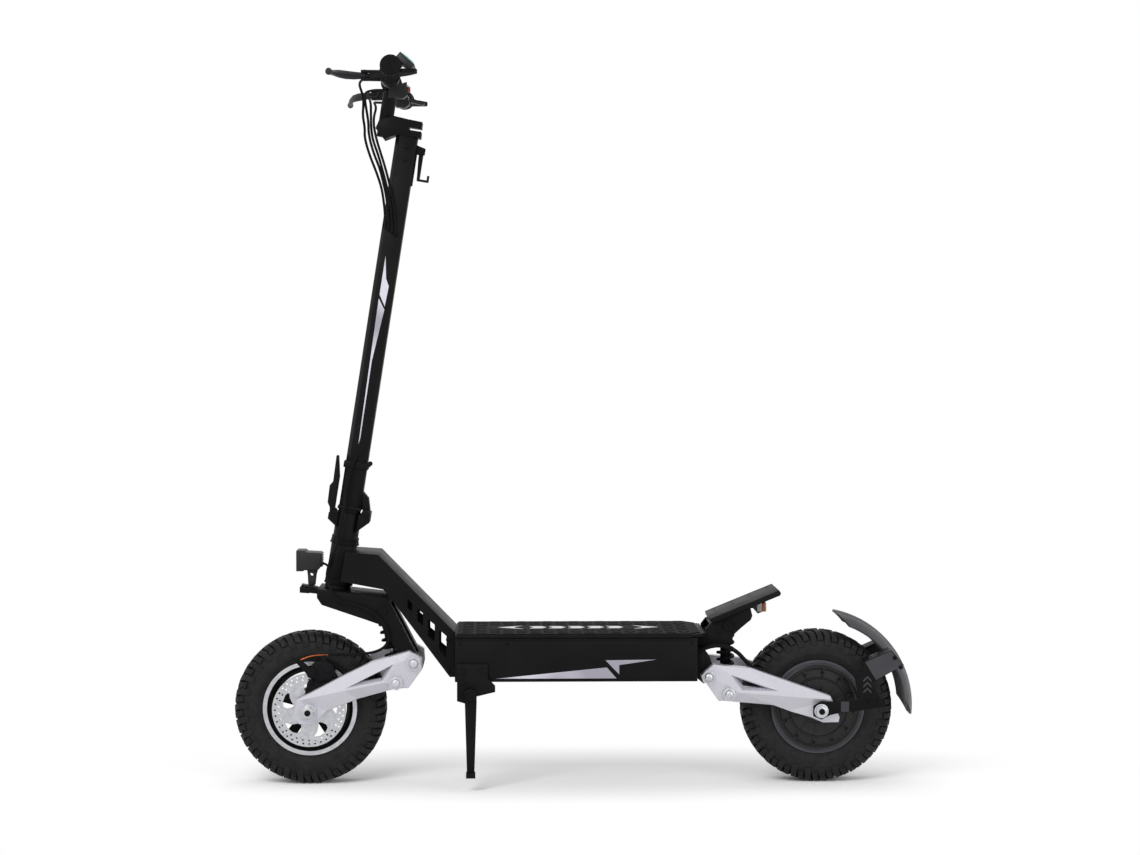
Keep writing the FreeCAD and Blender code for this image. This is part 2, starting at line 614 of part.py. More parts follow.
def grip(label, side):
    """Rubber grip with an end flange and a palm wing behind and below the bar."""
    body = new_body(label)
    inner = "bar_radius + fit"
    start, end = f"{side} * -grip_length / 2", f"{side} * grip_length / 2"
    corners = [(start, inner), (start, "grip_radius + 2"), (f"{start} + {side} * 5", "grip_radius + 2"),
               (f"{start} + {side} * 7", "grip_radius - 1"),
               (f"{end} - {side} * 12", "grip_radius"), (f"{end} - {side} * 8", "grip_radius + 1"),
               (f"{end} - {side} * 2", "grip_radius + 1"), (end, "grip_radius - 1"),
               (end, "0"), (f"{end} - {side} * 3", "0"), (f"{end} - {side} * 3", inner)]
    revolve(body, outline(body, "YZ", corners))
    wing = outline(body,
                   "XY",
                   [("grip_radius - 4", f"{side} * -20"), ("grip_radius + 15", f"{side} * 10"),
                    ("grip_radius + 27", f"{side} * 40"),
                                ("grip_radius + 24", f"{side} * 55"),
                    ("grip_radius - 4", f"{side} * 55")], "-8")
    pad(body, wing, "7")
    return on_bar(body, side, "bar_width / 2 + 3 + fit - grip_length / 2")


def brake_side(name, side):
    """Perch clamped on the bar, and a lever that pivots on it."""
    ring = new_body(f"brake_perch_{name}")
    revolve(ring,
            outline(ring,
                    "YZ",
                    [("-8", "bar_radius + fit"), ("8", "bar_radius + fit"), ("8", "bar_radius + 5"),
                     ("-8", "bar_radius + 5")]))
    ears = outline(ring,
                   "XY",
                   [("-bar_radius - 3", "-7"), ("-bar_radius - 3", "7"), ("-36", f"{side} * 2 + 7"),
                    ("-50", f"{side} * 2 + 6"), ("-50", f"{side} * 2 - 6"), ("-36", "-7")], "-3")
    pad(ring, ears, "18")
    throat = outline(ring, "XY", [("-36", "-30"), ("-70", "-30"), ("-70", "30"), ("-36", "30")], "-3")
    pocket(ring, throat, "8.6")
    pocket(ring, circles(ring, "XY", [("-43", f"{side} * 2")], "2.5 + fit", "-3"), "40")
    on_bar(ring, side, "bar_width / 2 - grip_length - 12")
    lever = new_body(f"brake_lever_{name}")
    shape = [("-37.5", f"{side} * -3"), ("-48", f"{side} * -3"), ("-57", f"{side} * 12"),
             ("-76", f"{side} * 40"), ("-90", f"{side} * 84"), ("-98", f"{side} * 122"),
             ("-95", f"{side} * 129"),
             ("-90", f"{side} * 127"), ("-82", f"{side} * 86"), ("-64", f"{side} * 44"),
             ("-48", f"{side} * 18"), ("-37.5", f"{side} * 8")]
    pad(lever, outline(lever, "XY", shape, "-3"), "8")
    pocket(lever, circles(lever, "XY", [("-43", f"{side} * 2")], "2.5 + fit", "-3"), "40")
    node(on_bar(lever, side, "bar_width / 2 - grip_length - 12"))
    pin = cylinder(f"brake_pin_{name}", "2.5", "19", "-43", f"{side} * 2", "-12.5", "Z", "0")
    return ring, on_bar(group(f"brake_pin_{name}_place", pin), side, "bar_width / 2 - grip_length - 12")


def display():
    """Display block on an arm from the bar clamp, its glass facing up and back."""
    body = new_body("display_housing")
    pad(body,
        outline(body,
                "XZ",
                [("-15", "-13"), ("15", "-13"), ("17", "-10"), ("17", "0"), ("-17", "0"),
                 ("-17", "-10")]), "66")
    pocket(body, outline(body, "XZ", [("-13", "-2.2"), ("13", "-2.2"), ("13", "5"), ("-13", "5")]), "56")
    pad(body, outline(body, "XZ", [("-15", "-13"), ("0", "-13"), ("-9", "-41"), ("-18", "-37")]), "30")
    node(place(body, f"({BAR_X}) + 29", "0", f"({BAR_Z}) + 42", "Y", "42"))
    glass = new_body("display_glass")
    pad(glass, outline(glass, "XZ", [("-12.8", "-2"), ("12.8", "-2"), ("12.8", "0.3"), ("-12.8", "0.3")]),
        "55.6")
    node(place(glass, f"({BAR_X}) + 29", "0", f"({BAR_Z}) + 42", "Y", "42"))


def bar_control(label, side, along, length, reach, tall):
    """A control pod clamped round the bar, reaching back and down."""
    body = new_body(label)
    revolve(body,
            outline(body,
                    "YZ",
                    [(f"-({length}) / 2", "bar_radius + fit"), (f"({length}) / 2", "bar_radius + fit"),
                     (f"({length}) / 2", "bar_radius + 5"), (f"-({length}) / 2", "bar_radius + 5")]))
    pad(body,
        outline(body,
                "XZ",
                [("-3", "-bar_radius - 2"), ("bar_radius + 2", "-bar_radius - 2"), (reach, "-8"),
                 (f"({reach}) + 2", f"-({tall}) + 6"), (f"({reach}) - 6", f"-({tall})"),
                 ("-2", f"-({tall}) + 2")]), f"({length}) - 4")
    return on_bar(body, side, along)


def controls():
    switch = bar_control("switch_pod", "-1", "104", "34", "28", "36")
    pocket(switch, circles(switch, "YZ", [("0", "-20")], "5 + slack", "30"), "8")
    button = cylinder("horn_button_cap", "5", "6", "28.3", "0", "-20", "Y", "90")
    node(on_bar(group("horn_button", button), "-1", "104"))
    throttle = bar_control("throttle_body", "1", "140", "26", "20", "30")
    node(group("bar_controls", switch, throttle))
    trigger = new_body("throttle_trigger")
    pad(trigger, circles(trigger, "XZ", [("26", "-16")], "4"), "14")
    pad(trigger,
        outline(trigger,
                "XZ",
                [("24", "-13"), ("28", "-12"), ("49", "-21"), ("47", "-25"), ("28", "-20"),
                 ("24", "-19")]), "14")
    node(on_bar(trigger, "1", "140"))


def stem_hook():
    """Folding bag hook: a strip screwed to the stem and a J-shaped hook on a pin."""
    strip = new_body("hook_strip")
    face = "stem_deep / 2 + fit"
    pad(strip,
        outline(strip,
                "XZ",
                [(face, "(stem_top - hook_drop) - 62"), (face + " + 2.5", "(stem_top - hook_drop) - 62"),
                 (face + " + 2.5", "(stem_top - hook_drop) - 6"),
                 ("hook_u + 6", "(stem_top - hook_drop) - 5"),
                 ("hook_u + 6", "(stem_top - hook_drop) + 6"), (face, "(stem_top - hook_drop) + 10")]),
        "14")
    pocket(strip,
           outline(strip,
                   "XZ",
                   [(face + " + 2.5", "(stem_top - hook_drop) - 9"),
                    ("hook_u + 9", "(stem_top - hook_drop) - 9"),
                    ("hook_u + 9", "(stem_top - hook_drop) + 9"),
                    (face + " + 2.5", "(stem_top - hook_drop) + 9")]), "7")
    pocket(strip, circles(strip, "XZ", [("hook_u", "(stem_top - hook_drop)")], "2 + fit"))
    steer(strip)
    hook = new_body("stem_hook")
    pad(hook,
        outline(hook,
                "XZ",
                [("hook_u - 4", "(stem_top - hook_drop) + 3"),
                 ("hook_u + 4", "(stem_top - hook_drop) + 3"),
                 ("hook_u + 4", "(stem_top - hook_drop) - 48"),
                 ("hook_u + 16", "(stem_top - hook_drop) - 48"),
                 ("hook_u + 16", "(stem_top - hook_drop) - 40"),
                 ("hook_u + 20", "(stem_top - hook_drop) - 40"),
                                   ("hook_u + 20", "(stem_top - hook_drop) - 52"),
                 ("hook_u - 1", "(stem_top - hook_drop) - 52"),
                 ("hook_u - 4", "(stem_top - hook_drop) - 12")]), "6")
    pocket(hook, circles(hook, "XZ", [("hook_u", "(stem_top - hook_drop)")], "2 + fit"))
    node(steer(hook))
    return strip, steer(group("hook_pin_place",
                              cylinder("hook_pin", "2", "15", "hook_u", "-7.5",
                                       "(stem_top - hook_drop)")))


# ---- chassis ----

def neck():
    """Box neck from the deck to the head tube: windowed side plates, rear wall and two gussets."""
    body = new_body("neck_box")
    side = [("seat_x + 3.1", "410"), ("seat_x + 60", "406"), ("deck_front", "270"),
            ("deck_front", "192.5"), ("deck_front - 9.4", "192.5"),
            ("seat_x + 76.4", "336.4"), ("seat_x + 68", "346.3"), ("seat_x - 5.9", "360")]
    pad(body, outline(body, "XZ", side), "neck_width")
    hollow = [("seat_x - 40", "397"), ("seat_x + 55", "397"), ("deck_front - neck_wall", "262"),
              ("deck_front - neck_wall", "180"), ("deck_front - 30", "180"),
              ("seat_x + 60", "330"), ("seat_x + 66", "353"), ("seat_x - 40", "367")]
    pocket(body, outline(body, "XZ", hollow), "neck_width - 2 * neck_wall")
    windows = ((-292.4, -284.6, 328.6, 306.4), (-275.4, -265.9, 312.2, 281), (-257, -245.6, 293.8, 253.4),
               (-237.3, -225.1, 274.9, 225.6))
    for low, high, top, bottom in windows:
        wide = high - low + 6
        drop = wide * 0.9
        corners = around("deck_front + 210", "0", (low - 3, top), (high + 3, top - drop * 0.5),
                         (high + 3, bottom - drop * 0.25), (low - 3, bottom + drop * 0.35))
        pocket(body, outline(body, "XZ", corners))
    tube = cylinder("head_tube", "head_radius", "head_top - head_bottom - 6 - 2 * fit", "0", "0",
                    "head_bottom + 6 + fit", "Z", "0")
    welded = fuse("neck_and_head", body, steer(group("head_tube_place", tube)))
    bore = cylinder("neck_bore", "steerer_radius + 3", "160", "0", "0", "head_bottom - 20", "Z", "0")
    return node(cut("neck_frame", welded, steer(group("neck_bore_place", bore))))


def deck():
    """Deck case, lid, rubber mat and skid plate, with the battery and the controller inside."""
    half = "deck_width / 2"
    case = new_body("deck_case")
    shape = [("deck_front", "deck_bottom"), ("deck_back", "deck_bottom"), ("deck_back", "lid_bottom"),
             ("deck_front", "lid_bottom")]
    pad(case, outline(case, "XZ", shape), "deck_width")
    room = [("deck_front + case_wall", "deck_bottom + case_wall"),
            ("deck_back - case_wall", "deck_bottom + case_wall"),
            ("deck_back - case_wall", "lid_bottom + 5"),
            ("deck_front + case_wall", "lid_bottom + 5")]
    pocket(case, outline(case, "XZ", room), "deck_width - 2 * case_wall")
    pocket(case, circles(case, "YZ", [(half + " - 40", "225")], "9"), "2 * (deck_back) + 0")
    node(case)
    lid = new_body("deck_lid")
    top = [("deck_front", "-(" + half + ")"), ("deck_back - 11", "-(" + half + ")"),
           ("deck_back + lid_tail", "-(" + half + ") + 28"),
           ("deck_back + lid_tail", half + " - 28"), ("deck_back - 11", half), ("deck_front", half)]
    pad(lid, outline(lid, "XY", top, "lid_bottom"), "mat_bottom - lid_bottom", both=False)
    node(lid)
    mat = new_body("deck_mat")
    inset = [("deck_front + 3", "-(" + half + ") + 4"), ("deck_back - 13", "-(" + half + ") + 4"),
             ("deck_back + lid_tail - 11", "-(" + half + ") + 30"),
             ("deck_back + lid_tail - 11", half + " - 30"), ("deck_back - 13", half + " - 4"),
             ("deck_front + 3", half + " - 4")]
    pad(mat, outline(mat, "XY", inset, "mat_bottom"), "deck_top - mat_bottom", both=False)
    node(mat)
    node(box("battery_pack", "290", "150", "52", "deck_front + case_wall + 6", "-75",
             "deck_bottom + case_wall"))
    node(box("motor_controller", "84", "120", "34", "deck_back - case_wall - 90", "-60",
             "deck_bottom + case_wall"))
    outer = cylinder("charge_collar", "11", "4", "120", "deck_width / 2", "222")
    inner = cylinder("charge_bore", "6", "20", "120", "deck_width / 2 + 1", "222")
    node(cut("charge_port", outer, inner))


def rear_lugs():
    """Block behind the deck with the two lugs that carry the rear arms."""
    body = new_body("rear_pivot_block")
    side = [("deck_back", "deck_bottom + 2"), ("deck_back", "lid_bottom - 22"),
            ("deck_back + 14", "lid_bottom - 22"), ("rear_pivot_x + 3", "rear_pivot_z + 34"),
            ("rear_pivot_x + 14", "rear_pivot_z"),
            ("rear_pivot_x + 8", "rear_pivot_z - 12"), ("rear_pivot_x - 8", "rear_pivot_z - 14")]
    pad(body, outline(body, "XZ", side), "2 * arm_inner - 1")
    pocket(body,
           outline(body,
                   "XZ",
                   [("deck_back + 6", "0"), ("deck_back + 6", "lid_bottom + 20"),
                    ("deck_back + 90", "lid_bottom + 20"), ("deck_back + 90", "0")]),
           "2 * arm_inner - 24")
    pocket(body, circles(body, "XZ", [("rear_pivot_x", "rear_pivot_z")], "shock_bolt + 1 + fit"))
    node(body)


def footrest():
    """Two bracket plates on the rear of the deck, and the rest on top of them."""
    body = new_body("footrest_bracket")
    side = [("deck_back", "lid_bottom - 21"), ("deck_back", "lid_bottom - fit"),
            ("deck_back + lid_tail + fit", "lid_bottom - fit")]
    side += [("deck_back + lid_tail + fit", "mat_bottom + 3")]
    side += around("rear_top_x", "rear_top_z", (-32, 3.1), (39.1, 32.3), (42.7, 16.9), (40, 9.9),
                   (23.1, -4), (9, -17), (8, -28), (-4, -36))
    side += [("deck_back + 34", "lid_bottom - 21")]
    pad(body, outline(body, "XZ", side), "rest_width")
    room = [("deck_back - 10", "lid_bottom - 60"), ("deck_back - 10", "lid_bottom + 90"),
            ("deck_back + 150", "lid_bottom + 90"),
            ("deck_back + 150", "lid_bottom - 60")]
    pocket(body, outline(body, "XZ", room), "rest_width - 12")
    bridge = around("rear_top_x", "rear_top_z", (-32, 3), (37, 31.4), (38, 27.7), (-30.5, -0.7))
    pad(body, outline(body, "XZ", bridge), "rest_width - 11")
    pocket(body, circles(body, "XZ", [("rear_top_x", "rear_top_z")], "shock_bolt + fit"))
    node(body)
    rest = new_body("footrest_plate")
    pad(rest,
        outline(rest,
                "XZ", [("3", "0"), ("130", "0"), ("133", "3"), ("132", "9"), ("2", "9"), ("1", "3")]),
        "128")
    node(place(rest, "rear_top_x - 30", "0", "rear_top_z + 4.2", "Y", "-22.2"))
    return bolt("rear_shock_bolt", "rear_top_x", "rear_top_z", "rest_width / 2", "shock_bolt", "9", "4")


def tail_light():
    """Lamp hung under the high end of the footrest."""
    case = new_body("tail_light_housing")
    pad(case,
        outline(case,
                "XZ",
                [("74", "-0.1"), ("104", "-0.1"), ("104", "-6"), ("98", "-20"), ("84", "-20"),
                 ("80", "-8"), ("74", "-6")]), "44")
    node(place(case, "rear_top_x - 30", "0", "rear_top_z + 4.2", "Y", "-22.2"))


def kickstand():
    """Bracket on the left of the deck, a leg that folds back and its rubber foot."""
    bracket = new_body("kickstand_bracket")
    corners = around("stand_x", "stand_z", (-23.6, 54), (29.3, 54), (29.3, 30), (42.4, 16.3), (42.4, 5.7),
                     (10, -2), (8, -12), (-10, -14), (-23.6, -10))
    pad(bracket, outline(bracket, "XZ", corners, "deck_width / 2 + fit"), "5", both=False)
    pocket(bracket, circles(bracket, "XZ", [("stand_x", "stand_z")], "4 + fit"))
    node(bracket)
    leg = new_body("kickstand_leg")
    shape = [("-10.5", "8"), ("-4", "12"), ("4", "12"), ("10.5", "8"), ("10.5", "-12"),
             ("6.5", "stand_tip_z - stand_z + 10"), ("-6.5", "stand_tip_z - stand_z + 10")]
    pad(leg, outline(leg, "XZ", shape), "10")
    pocket(leg, circles(leg, "XZ", [("0", "0")], "4 + fit"))
    node(place(leg, "stand_x", "-deck_width / 2 - stand_out", "stand_z"))
    node(box("kickstand_foot", "16", "14", "9.8", "stand_x - 8", "-deck_width / 2 - stand_out - 7",
             "stand_tip_z"))
    pin = cylinder("stand_pin_shank", "4", "20", "stand_x", "-deck_width / 2 - stand_out - 7", "stand_z")
    head = cylinder("stand_pin_head", "8", "4", "stand_x", "-deck_width / 2 - stand_out - 9.5", "stand_z")
    screws = [fuse("stand_pin", pin, head)]
    for index, shift in enumerate((-14.4, 21.8)):
        screws.append(cylinder(f"bracket_screw_{index}", "5", "3.5", f"stand_x + {shift}",
                               "-deck_width / 2 - 5 - 3.7", "stand_z + 43"))
    return screws


# ---- rear guard ----

def fender():
    """Curved guard round the back of the rear tyre, with side skirts, on a bracket from the axle."""
    inner, outer = "fender_radius - fender_thick", "fender_radius"
    half = "fender_width / 2"
    body = new_body("fender")
    corners = [("-(" + half + ")", outer + " - 16"), ("-(" + half + ") + 6", outer),
               (half + " - 6", outer), (half, outer + " - 16"),
               (half + " - fender_thick", outer + " - 16"), (half + " - 8", inner),
               ("-(" + half + ") + 8", inner), ("-(" + half + ") + fender_thick", outer + " - 16")]
    revolve(body, outline(body, "YZ", corners), "H_Axis", "84")
    node(place(body, "rear_axle_x", "0", "tyre_radius", "Y", "10.3"))
    bracket = new_body("fender_bracket_left")
    arm = around("rear_axle_x", "tyre_radius", (-14, -9), (-14, 9), (0, 17), (34, 16.2), (66, 19),
                 (58, 57), (76, 86), (122, 106),
                 (144, 80), (95, 53), (88, 48), (112, 7), (70, 1), (34, -3), (16, -7), (0, -15))
    pad(bracket, outline(bracket, "XZ", arm, "arm_inner + arm_thick + slack / 2"), "plate_thick",
        both=False)
    pocket(bracket, circles(bracket, "XZ", [("rear_axle_x", "tyre_radius")], "axle_radius + fit"))
    fold = around("rear_axle_x", "tyre_radius", (76, 86), (122, 106), (123.6, 102.3), (77.6, 82.3))
    reach = "arm_inner + arm_thick + slack / 2 - fender_width / 2"
    pad(bracket, outline(bracket, "XZ", fold, "fender_width / 2 + fit"), reach, both=False)
    node(group("fender_brackets", bracket, mirror("fender_bracket_right", bracket)))


# ---- brakes ----

def front_brake():
    """Bracket on the left arm and a caliper that straddles the disc."""
    bracket = new_body("caliper_bracket")
    foot = around("front_axle_x", "tyre_radius", (-10, 14), (2, 48), (30, 60), (42, 58), (30, 44),
                  (14, 14))
    pad(bracket, outline(bracket, "XZ", foot, "disc_y + disc_thick / 2 + slack"), "4", both=False)
    body = new_body("caliper_body")
    block = around("front_axle_x", "tyre_radius", (-4, 56), (2, 82), (34, 88), (46, 70), (38, 50),
                   (16, 46))
    pad(body, outline(body, "XZ", block, "disc_y - 11"), "17.4", both=False)
    pocket(body,
           outline(body,
                   "XZ", around("front_axle_x", "tyre_radius", (-60, 0), (-60, 66), (60, 66), (60, 0)),
                   "disc_y"), "5")
    node(fuse("front_caliper", bracket, body))


# ---- cables ----

def cable(points, radius):
    """A round cable: straight runs joined by arcs that are as large as the runs allow."""
    points = [Vector(*point) for point in points]
    edges, last = [], points[0]
    for before, corner, after in zip(points, points[1:], points[2:]):
        back, ahead = (before - corner), (after - corner)
        turn = math.pi - back.getAngle(ahead)
        trim = 0.45 * min(back.Length, ahead.Length)
        start = corner + Vector(back).normalize() * trim
        end = corner + Vector(ahead).normalize() * trim
        bisector = (Vector(back).normalize() + Vector(ahead).normalize()).normalize()
        arc_radius = trim / math.tan(turn / 2)
        middle = corner + bisector * (arc_radius / math.cos(turn / 2) - arc_radius)
        edges.append(Part.LineSegment(last, start).toShape())
        edges.append(Part.Arc(start, middle, end).toShape())
        print("cable radius", round(arc_radius, 1))
        last = end
    edges.append(Part.LineSegment(last, points[-1]).toShape())
    path = Part.Wire(edges)
    ring = Part.Wire(Part.Circle(points[0], points[1] - points[0], radius).toShape())
    tube = path.makePipeShell([ring], True, False)
    expected = math.pi * radius * radius * path.Length
    if abs(tube.Volume / expected - 1) > 0.01:
        raise ValueError("a cable's volume is off")
    return tube


def cables():
    """Bundle from the controls to the stem, and the brake cable in two runs."""
    bundle = []
    for index in range(4):
        side = -9 - 5.5 * index
        entry = -332 + 6 * index
        bundle.append(cable([(-345 - 2 * index, side - 12, 1212), (-357 - 2 * index, side - 14, 1180),
                             (-358 - index, side - 13, 1142),
                             (-351 - index, side - 10, 1098), (-344 + 4.4 * index, side / 2 - 24, 1058),
                             (entry - 4, -26.5 - index * 0.4, 1018), (entry, -25.6, 978 - 5 * index)],
                            2.2))
    wires = doc.addObject("Part::Feature", "control_cables")
    wires.Shape = Part.makeCompound(bundle)
    node(wires)
    upper = doc.addObject("Part::Feature", "brake_cable_upper")
    upper.Shape = cable([(-381, -25.4, 580), (-392, -33, 556), (-398, -36, 527), (-403, -37, 497),
                         (-409, -38, 455), (-417, -40, 420),
                         (-430, -48, 390), (-435, -60, 362), (-424, -67, 342)], 2.5)
    node(upper)
    lower = doc.addObject("Part::Feature", "brake_cable_lower")
    lower.Shape = cable([(-424, -67, 342), (-415.2, -72.6, 326), (-398, -72, 322), (-376, -69, 318),
                         (-350, -69, 303), (-332, -69, 285), (-324, -70, 264), (-330, -72, 246),
                         (-350, -73, 235), (-378, -72, 230), (-408, -66, 227), (-426, -60, 224)], 2.5)
    node(lower)


def build():
    tyre("front_tyre", "front_axle_x")
    tyre("rear_tyre", "rear_axle_x")
    front_rim()
    node(bearings("front_bearings", "front_axle_x", "axle_radius + fit", "axle_radius + 7 - fit", "30"))
    brake_disc("front_disc", "front_axle_x", "-disc_y")
    rear_wheel()
    brake_disc("rear_disc", "rear_axle_x", "46.1")
    front_arms()
    rear_arms()
    suspension_bolts("front")
    suspension_bolts("rear")
    shock("front")
    shock("rear")
    fork_yoke()
    head_parts()
    fold_base()
    latch_lever()
    headlight()
    stem()
    stem_cap()
    handlebar()
    node(group("grips", grip("grip_left", "-1"), grip("grip_right", "1")))
    left_perch, left_pin = brake_side("left", "-1")
    right_perch, right_pin = brake_side("right", "1")
    node(group("brake_perches", left_perch, right_perch))
    display()
    controls()
    strip, hook_pin = stem_hook()
    node(group("hook_strip_and_pins", strip, hook_pin, left_pin, right_pin))
    neck()
    deck()
    rear_lugs()
    shock_bolt = footrest()
    tail_light()
    node(group("chassis_bolts", shock_bolt, *kickstand()))
    fender()
    front_brake()
    cables()


build()
doc.recompute()
faults = [item.Label for item in doc.Objects if {"Invalid", "Error"} & set(item.State)]
faults += [item.Label for item in nodes if item.Shape.isNull() or not item.Shape.isValid()]
if faults:
    raise ValueError("failed: " + ", ".join(faults))
os.makedirs("parts", exist_ok=True)
for item in nodes:
    item.Shape.exportStep(f"parts/{item.Label}.step")
print(len(nodes), "sub-parts written")
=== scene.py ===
import json
import math
import bpy
import bmesh
from mathutils import Matrix, Vector

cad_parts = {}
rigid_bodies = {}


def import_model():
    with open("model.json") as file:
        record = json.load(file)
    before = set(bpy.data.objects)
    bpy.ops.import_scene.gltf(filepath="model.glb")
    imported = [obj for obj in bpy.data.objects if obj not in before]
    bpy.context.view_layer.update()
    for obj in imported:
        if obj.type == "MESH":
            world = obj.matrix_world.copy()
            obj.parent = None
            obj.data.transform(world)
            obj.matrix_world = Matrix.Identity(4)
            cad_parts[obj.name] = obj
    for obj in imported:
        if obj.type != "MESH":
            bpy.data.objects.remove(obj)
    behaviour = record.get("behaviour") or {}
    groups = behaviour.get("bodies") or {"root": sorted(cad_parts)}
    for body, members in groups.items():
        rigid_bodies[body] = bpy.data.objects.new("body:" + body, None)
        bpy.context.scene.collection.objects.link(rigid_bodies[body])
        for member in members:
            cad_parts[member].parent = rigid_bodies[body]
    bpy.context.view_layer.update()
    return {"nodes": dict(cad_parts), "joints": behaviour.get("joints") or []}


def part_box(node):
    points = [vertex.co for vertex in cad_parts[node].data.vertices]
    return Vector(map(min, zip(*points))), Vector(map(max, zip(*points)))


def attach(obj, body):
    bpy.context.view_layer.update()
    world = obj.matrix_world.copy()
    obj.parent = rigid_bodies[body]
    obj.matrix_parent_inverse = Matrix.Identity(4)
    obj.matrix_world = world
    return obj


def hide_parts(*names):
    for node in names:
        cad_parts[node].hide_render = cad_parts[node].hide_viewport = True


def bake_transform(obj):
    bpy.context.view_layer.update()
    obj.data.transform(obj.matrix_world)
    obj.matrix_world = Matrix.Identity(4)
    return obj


bl_info = {
    "name": "Electric kick scooter",
    "version": (1, 0, 0),
    "blender": (4, 5, 0),
    "location": "View3D > Sidebar > Scooter",
    "description": "Finishes and detailed pieces of an off-road kick scooter",
    "category": "Object",
}

for item in list(bpy.data.objects):
    bpy.data.objects.remove(item)
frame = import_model()
MM = 0.001
JOINTS = {joint["name"]: joint for joint in frame["joints"]}


def joint_place(name):
    return Vector(JOINTS[name]["pos_m"])


SEAT = joint_place("steering")
STEER_AXIS = Vector(JOINTS["steering"]["axis"]).normalized()
AHEAD = Vector((STEER_AXIS.z, 0, -STEER_AXIS.x))
FRONT_AXLE = joint_place("front_wheel_spin")
REAR_AXLE = joint_place("rear_wheel_spin")
FRONT_PIVOT = joint_place("front_suspension")
REAR_PIVOT = joint_place("rear_suspension")
FRONT_TOP = joint_place("front_shock_tilt")
REAR_TOP = joint_place("rear_shock_tilt")
STAND_PIVOT = joint_place("kickstand_fold")
FRONT_EYE = Vector((-312.7, 0, 184.1)) * MM
REAR_EYE = Vector((266.9, 0, 162.7)) * MM
MAT_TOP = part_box("deck_mat")[1].z
BOTH_SIDES = (-1, 1)
# Points closer than this are merged, and edges sharper than this many degrees stay sharp
WELD = 0.01 * MM
SMOOTH_ANGLE = 30


class ScooterSizes(bpy.types.PropertyGroup):
    """Sizes that give the pieces their character."""
    knob_height: bpy.props.FloatProperty(name="Tread height", description="How far a tread block stands out",
                                         default=5.2 * MM, unit="LENGTH")
    knob_rows: bpy.props.IntProperty(name="Tread blocks", description="Blocks round each tyre", default=30)
    spring_wire: bpy.props.FloatProperty(name="Spring wire", description="Thickness of the shock springs' wire",
                                         default=5.5 * MM, unit="LENGTH")
    spring_turns: bpy.props.FloatProperty(name="Spring turns", description="Turns of each shock spring", default=6.0)
    cable: bpy.props.FloatProperty(name="Cable radius", description="Half the thickness of a control cable",
                                   default=2.2 * MM, unit="LENGTH")
    edge: bpy.props.FloatProperty(name="Edge rounding", description="Rounding of machined edges",
                                  default=1.2 * MM, unit="LENGTH")


class ScooterColours(bpy.types.PropertyGroup):
    """Main finishes as sRGB hex values."""
    frame_black: bpy.props.StringProperty(name="Frame", description="Powder coat of the frame", default="#0d0d0e")
    arm_silver: bpy.props.StringProperty(name="Arms", description="Cast and clear coated arms", default="#c3c2cb")
    tyre_black: bpy.props.StringProperty(name="Tyre", description="Rubber of the tyres", default="#121212")
    guard_grey: bpy.props.StringProperty(name="Fender", description="Moulded fender", default="#343437")
    decal_silver: bpy.props.StringProperty(name="Decals", description="Silver stickers", default="#d4d1dc")
    horn_red: bpy.props.StringProperty(name="Horn button", description="Cap of the horn button", default="#a01c16")


# ---- materials ----

def linear(text):
    """Linear colour from an sRGB hex value."""
    parts = [int(text[index:index + 2], 16) / 255 for index in (1, 3, 5)]
    return tuple(part / 12.92 if part <= 0.04045 else ((part + 0.055) / 1.055) ** 2.4 for part in parts) + (1,)


def add_node(tree, kind, settings=None, inputs=None, links=None):
    """Adds a node, sets its values and links sockets given as (own input, from node, its output)."""
    item = tree.nodes.new(kind)
    for name, setting in (settings or {}).items():
        setattr(item, name, setting)
    for name, setting in (inputs or {}).items():
        item.inputs[name].default_value = setting
    for own, other, output in links or ():
        tree.links.new(other.outputs[output], item.inputs[own])
    return item


def new_material(name, **sockets):
    """A material with one Principled shader; sockets are set on the shader itself."""
    material = bpy.data.materials.new(name)
    material.use_nodes = True
    shader = material.node_tree.nodes["Principled BSDF"]
    for key, setting in sockets.items():
        shader.inputs[key.replace("_", " ")].default_value = setting
    return material, material.node_tree, shader


def object_noise(tree, size_mm, detail=4.0, rough=0.5):
    """Noise whose features are about size_mm across, fixed to the piece."""
    place = add_node(tree, "ShaderNodeTexCoord")
    return add_node(tree, "ShaderNodeTexNoise", None,
                    {"Scale": 1 / (size_mm * MM), "Detail": detail, "Roughness": rough},
                    [("Vector", place, "Object")])


def add_bump(tree, shader, height, output, depth_mm, strength=1.0):
    bump = add_node(tree, "ShaderNodeBump", None, {"Distance": depth_mm * MM, "Strength": strength},
                    [("Height", height, output)])
    tree.links.new(bump.outputs["Normal"], shader.inputs["Normal"])


def vary(tree, shader, socket, noise, low, high):
    """Lets the noise move one of the shader's numbers between two values."""
    span = add_node(tree, "ShaderNodeMapRange", None, {"From Min": 0.3, "From Max": 0.7, "To Min": low, "To Max": high},
                    [("Value", noise, "Fac")])
    tree.links.new(span.outputs["Result"], shader.inputs[socket])


def two_tone(tree, shader, noise, first, second, low=0.35, high=0.65):
    """Lets the noise blend two colours."""
    ramp = add_node(tree, "ShaderNodeValToRGB", None, None, [("Fac", noise, "Fac")])
    ramp.color_ramp.elements[0].position, ramp.color_ramp.elements[1].position = low, high
    ramp.color_ramp.elements[0].color, ramp.color_ramp.elements[1].color = linear(first), linear(second)
    tree.links.new(ramp.outputs["Color"], shader.inputs["Base Color"])


def powder_coat(name, colour, second):
    """Satin powder coat on aluminium: fine orange peel and a soft, wide highlight."""
    material, tree, shader = new_material(name, Metallic=0.0, Roughness=0.5, IOR=1.5, Specular_IOR_Level=0.09)
    peel = object_noise(tree, 1.6, 3.0)
    two_tone(tree, shader, object_noise(tree, 60, 2.0), colour, second)
    vary(tree, shader, "Roughness", object_noise(tree, 25, 4.0), 0.43, 0.53)
    add_bump(tree, shader, peel, "Fac", 0.05, 0.5)
    return material


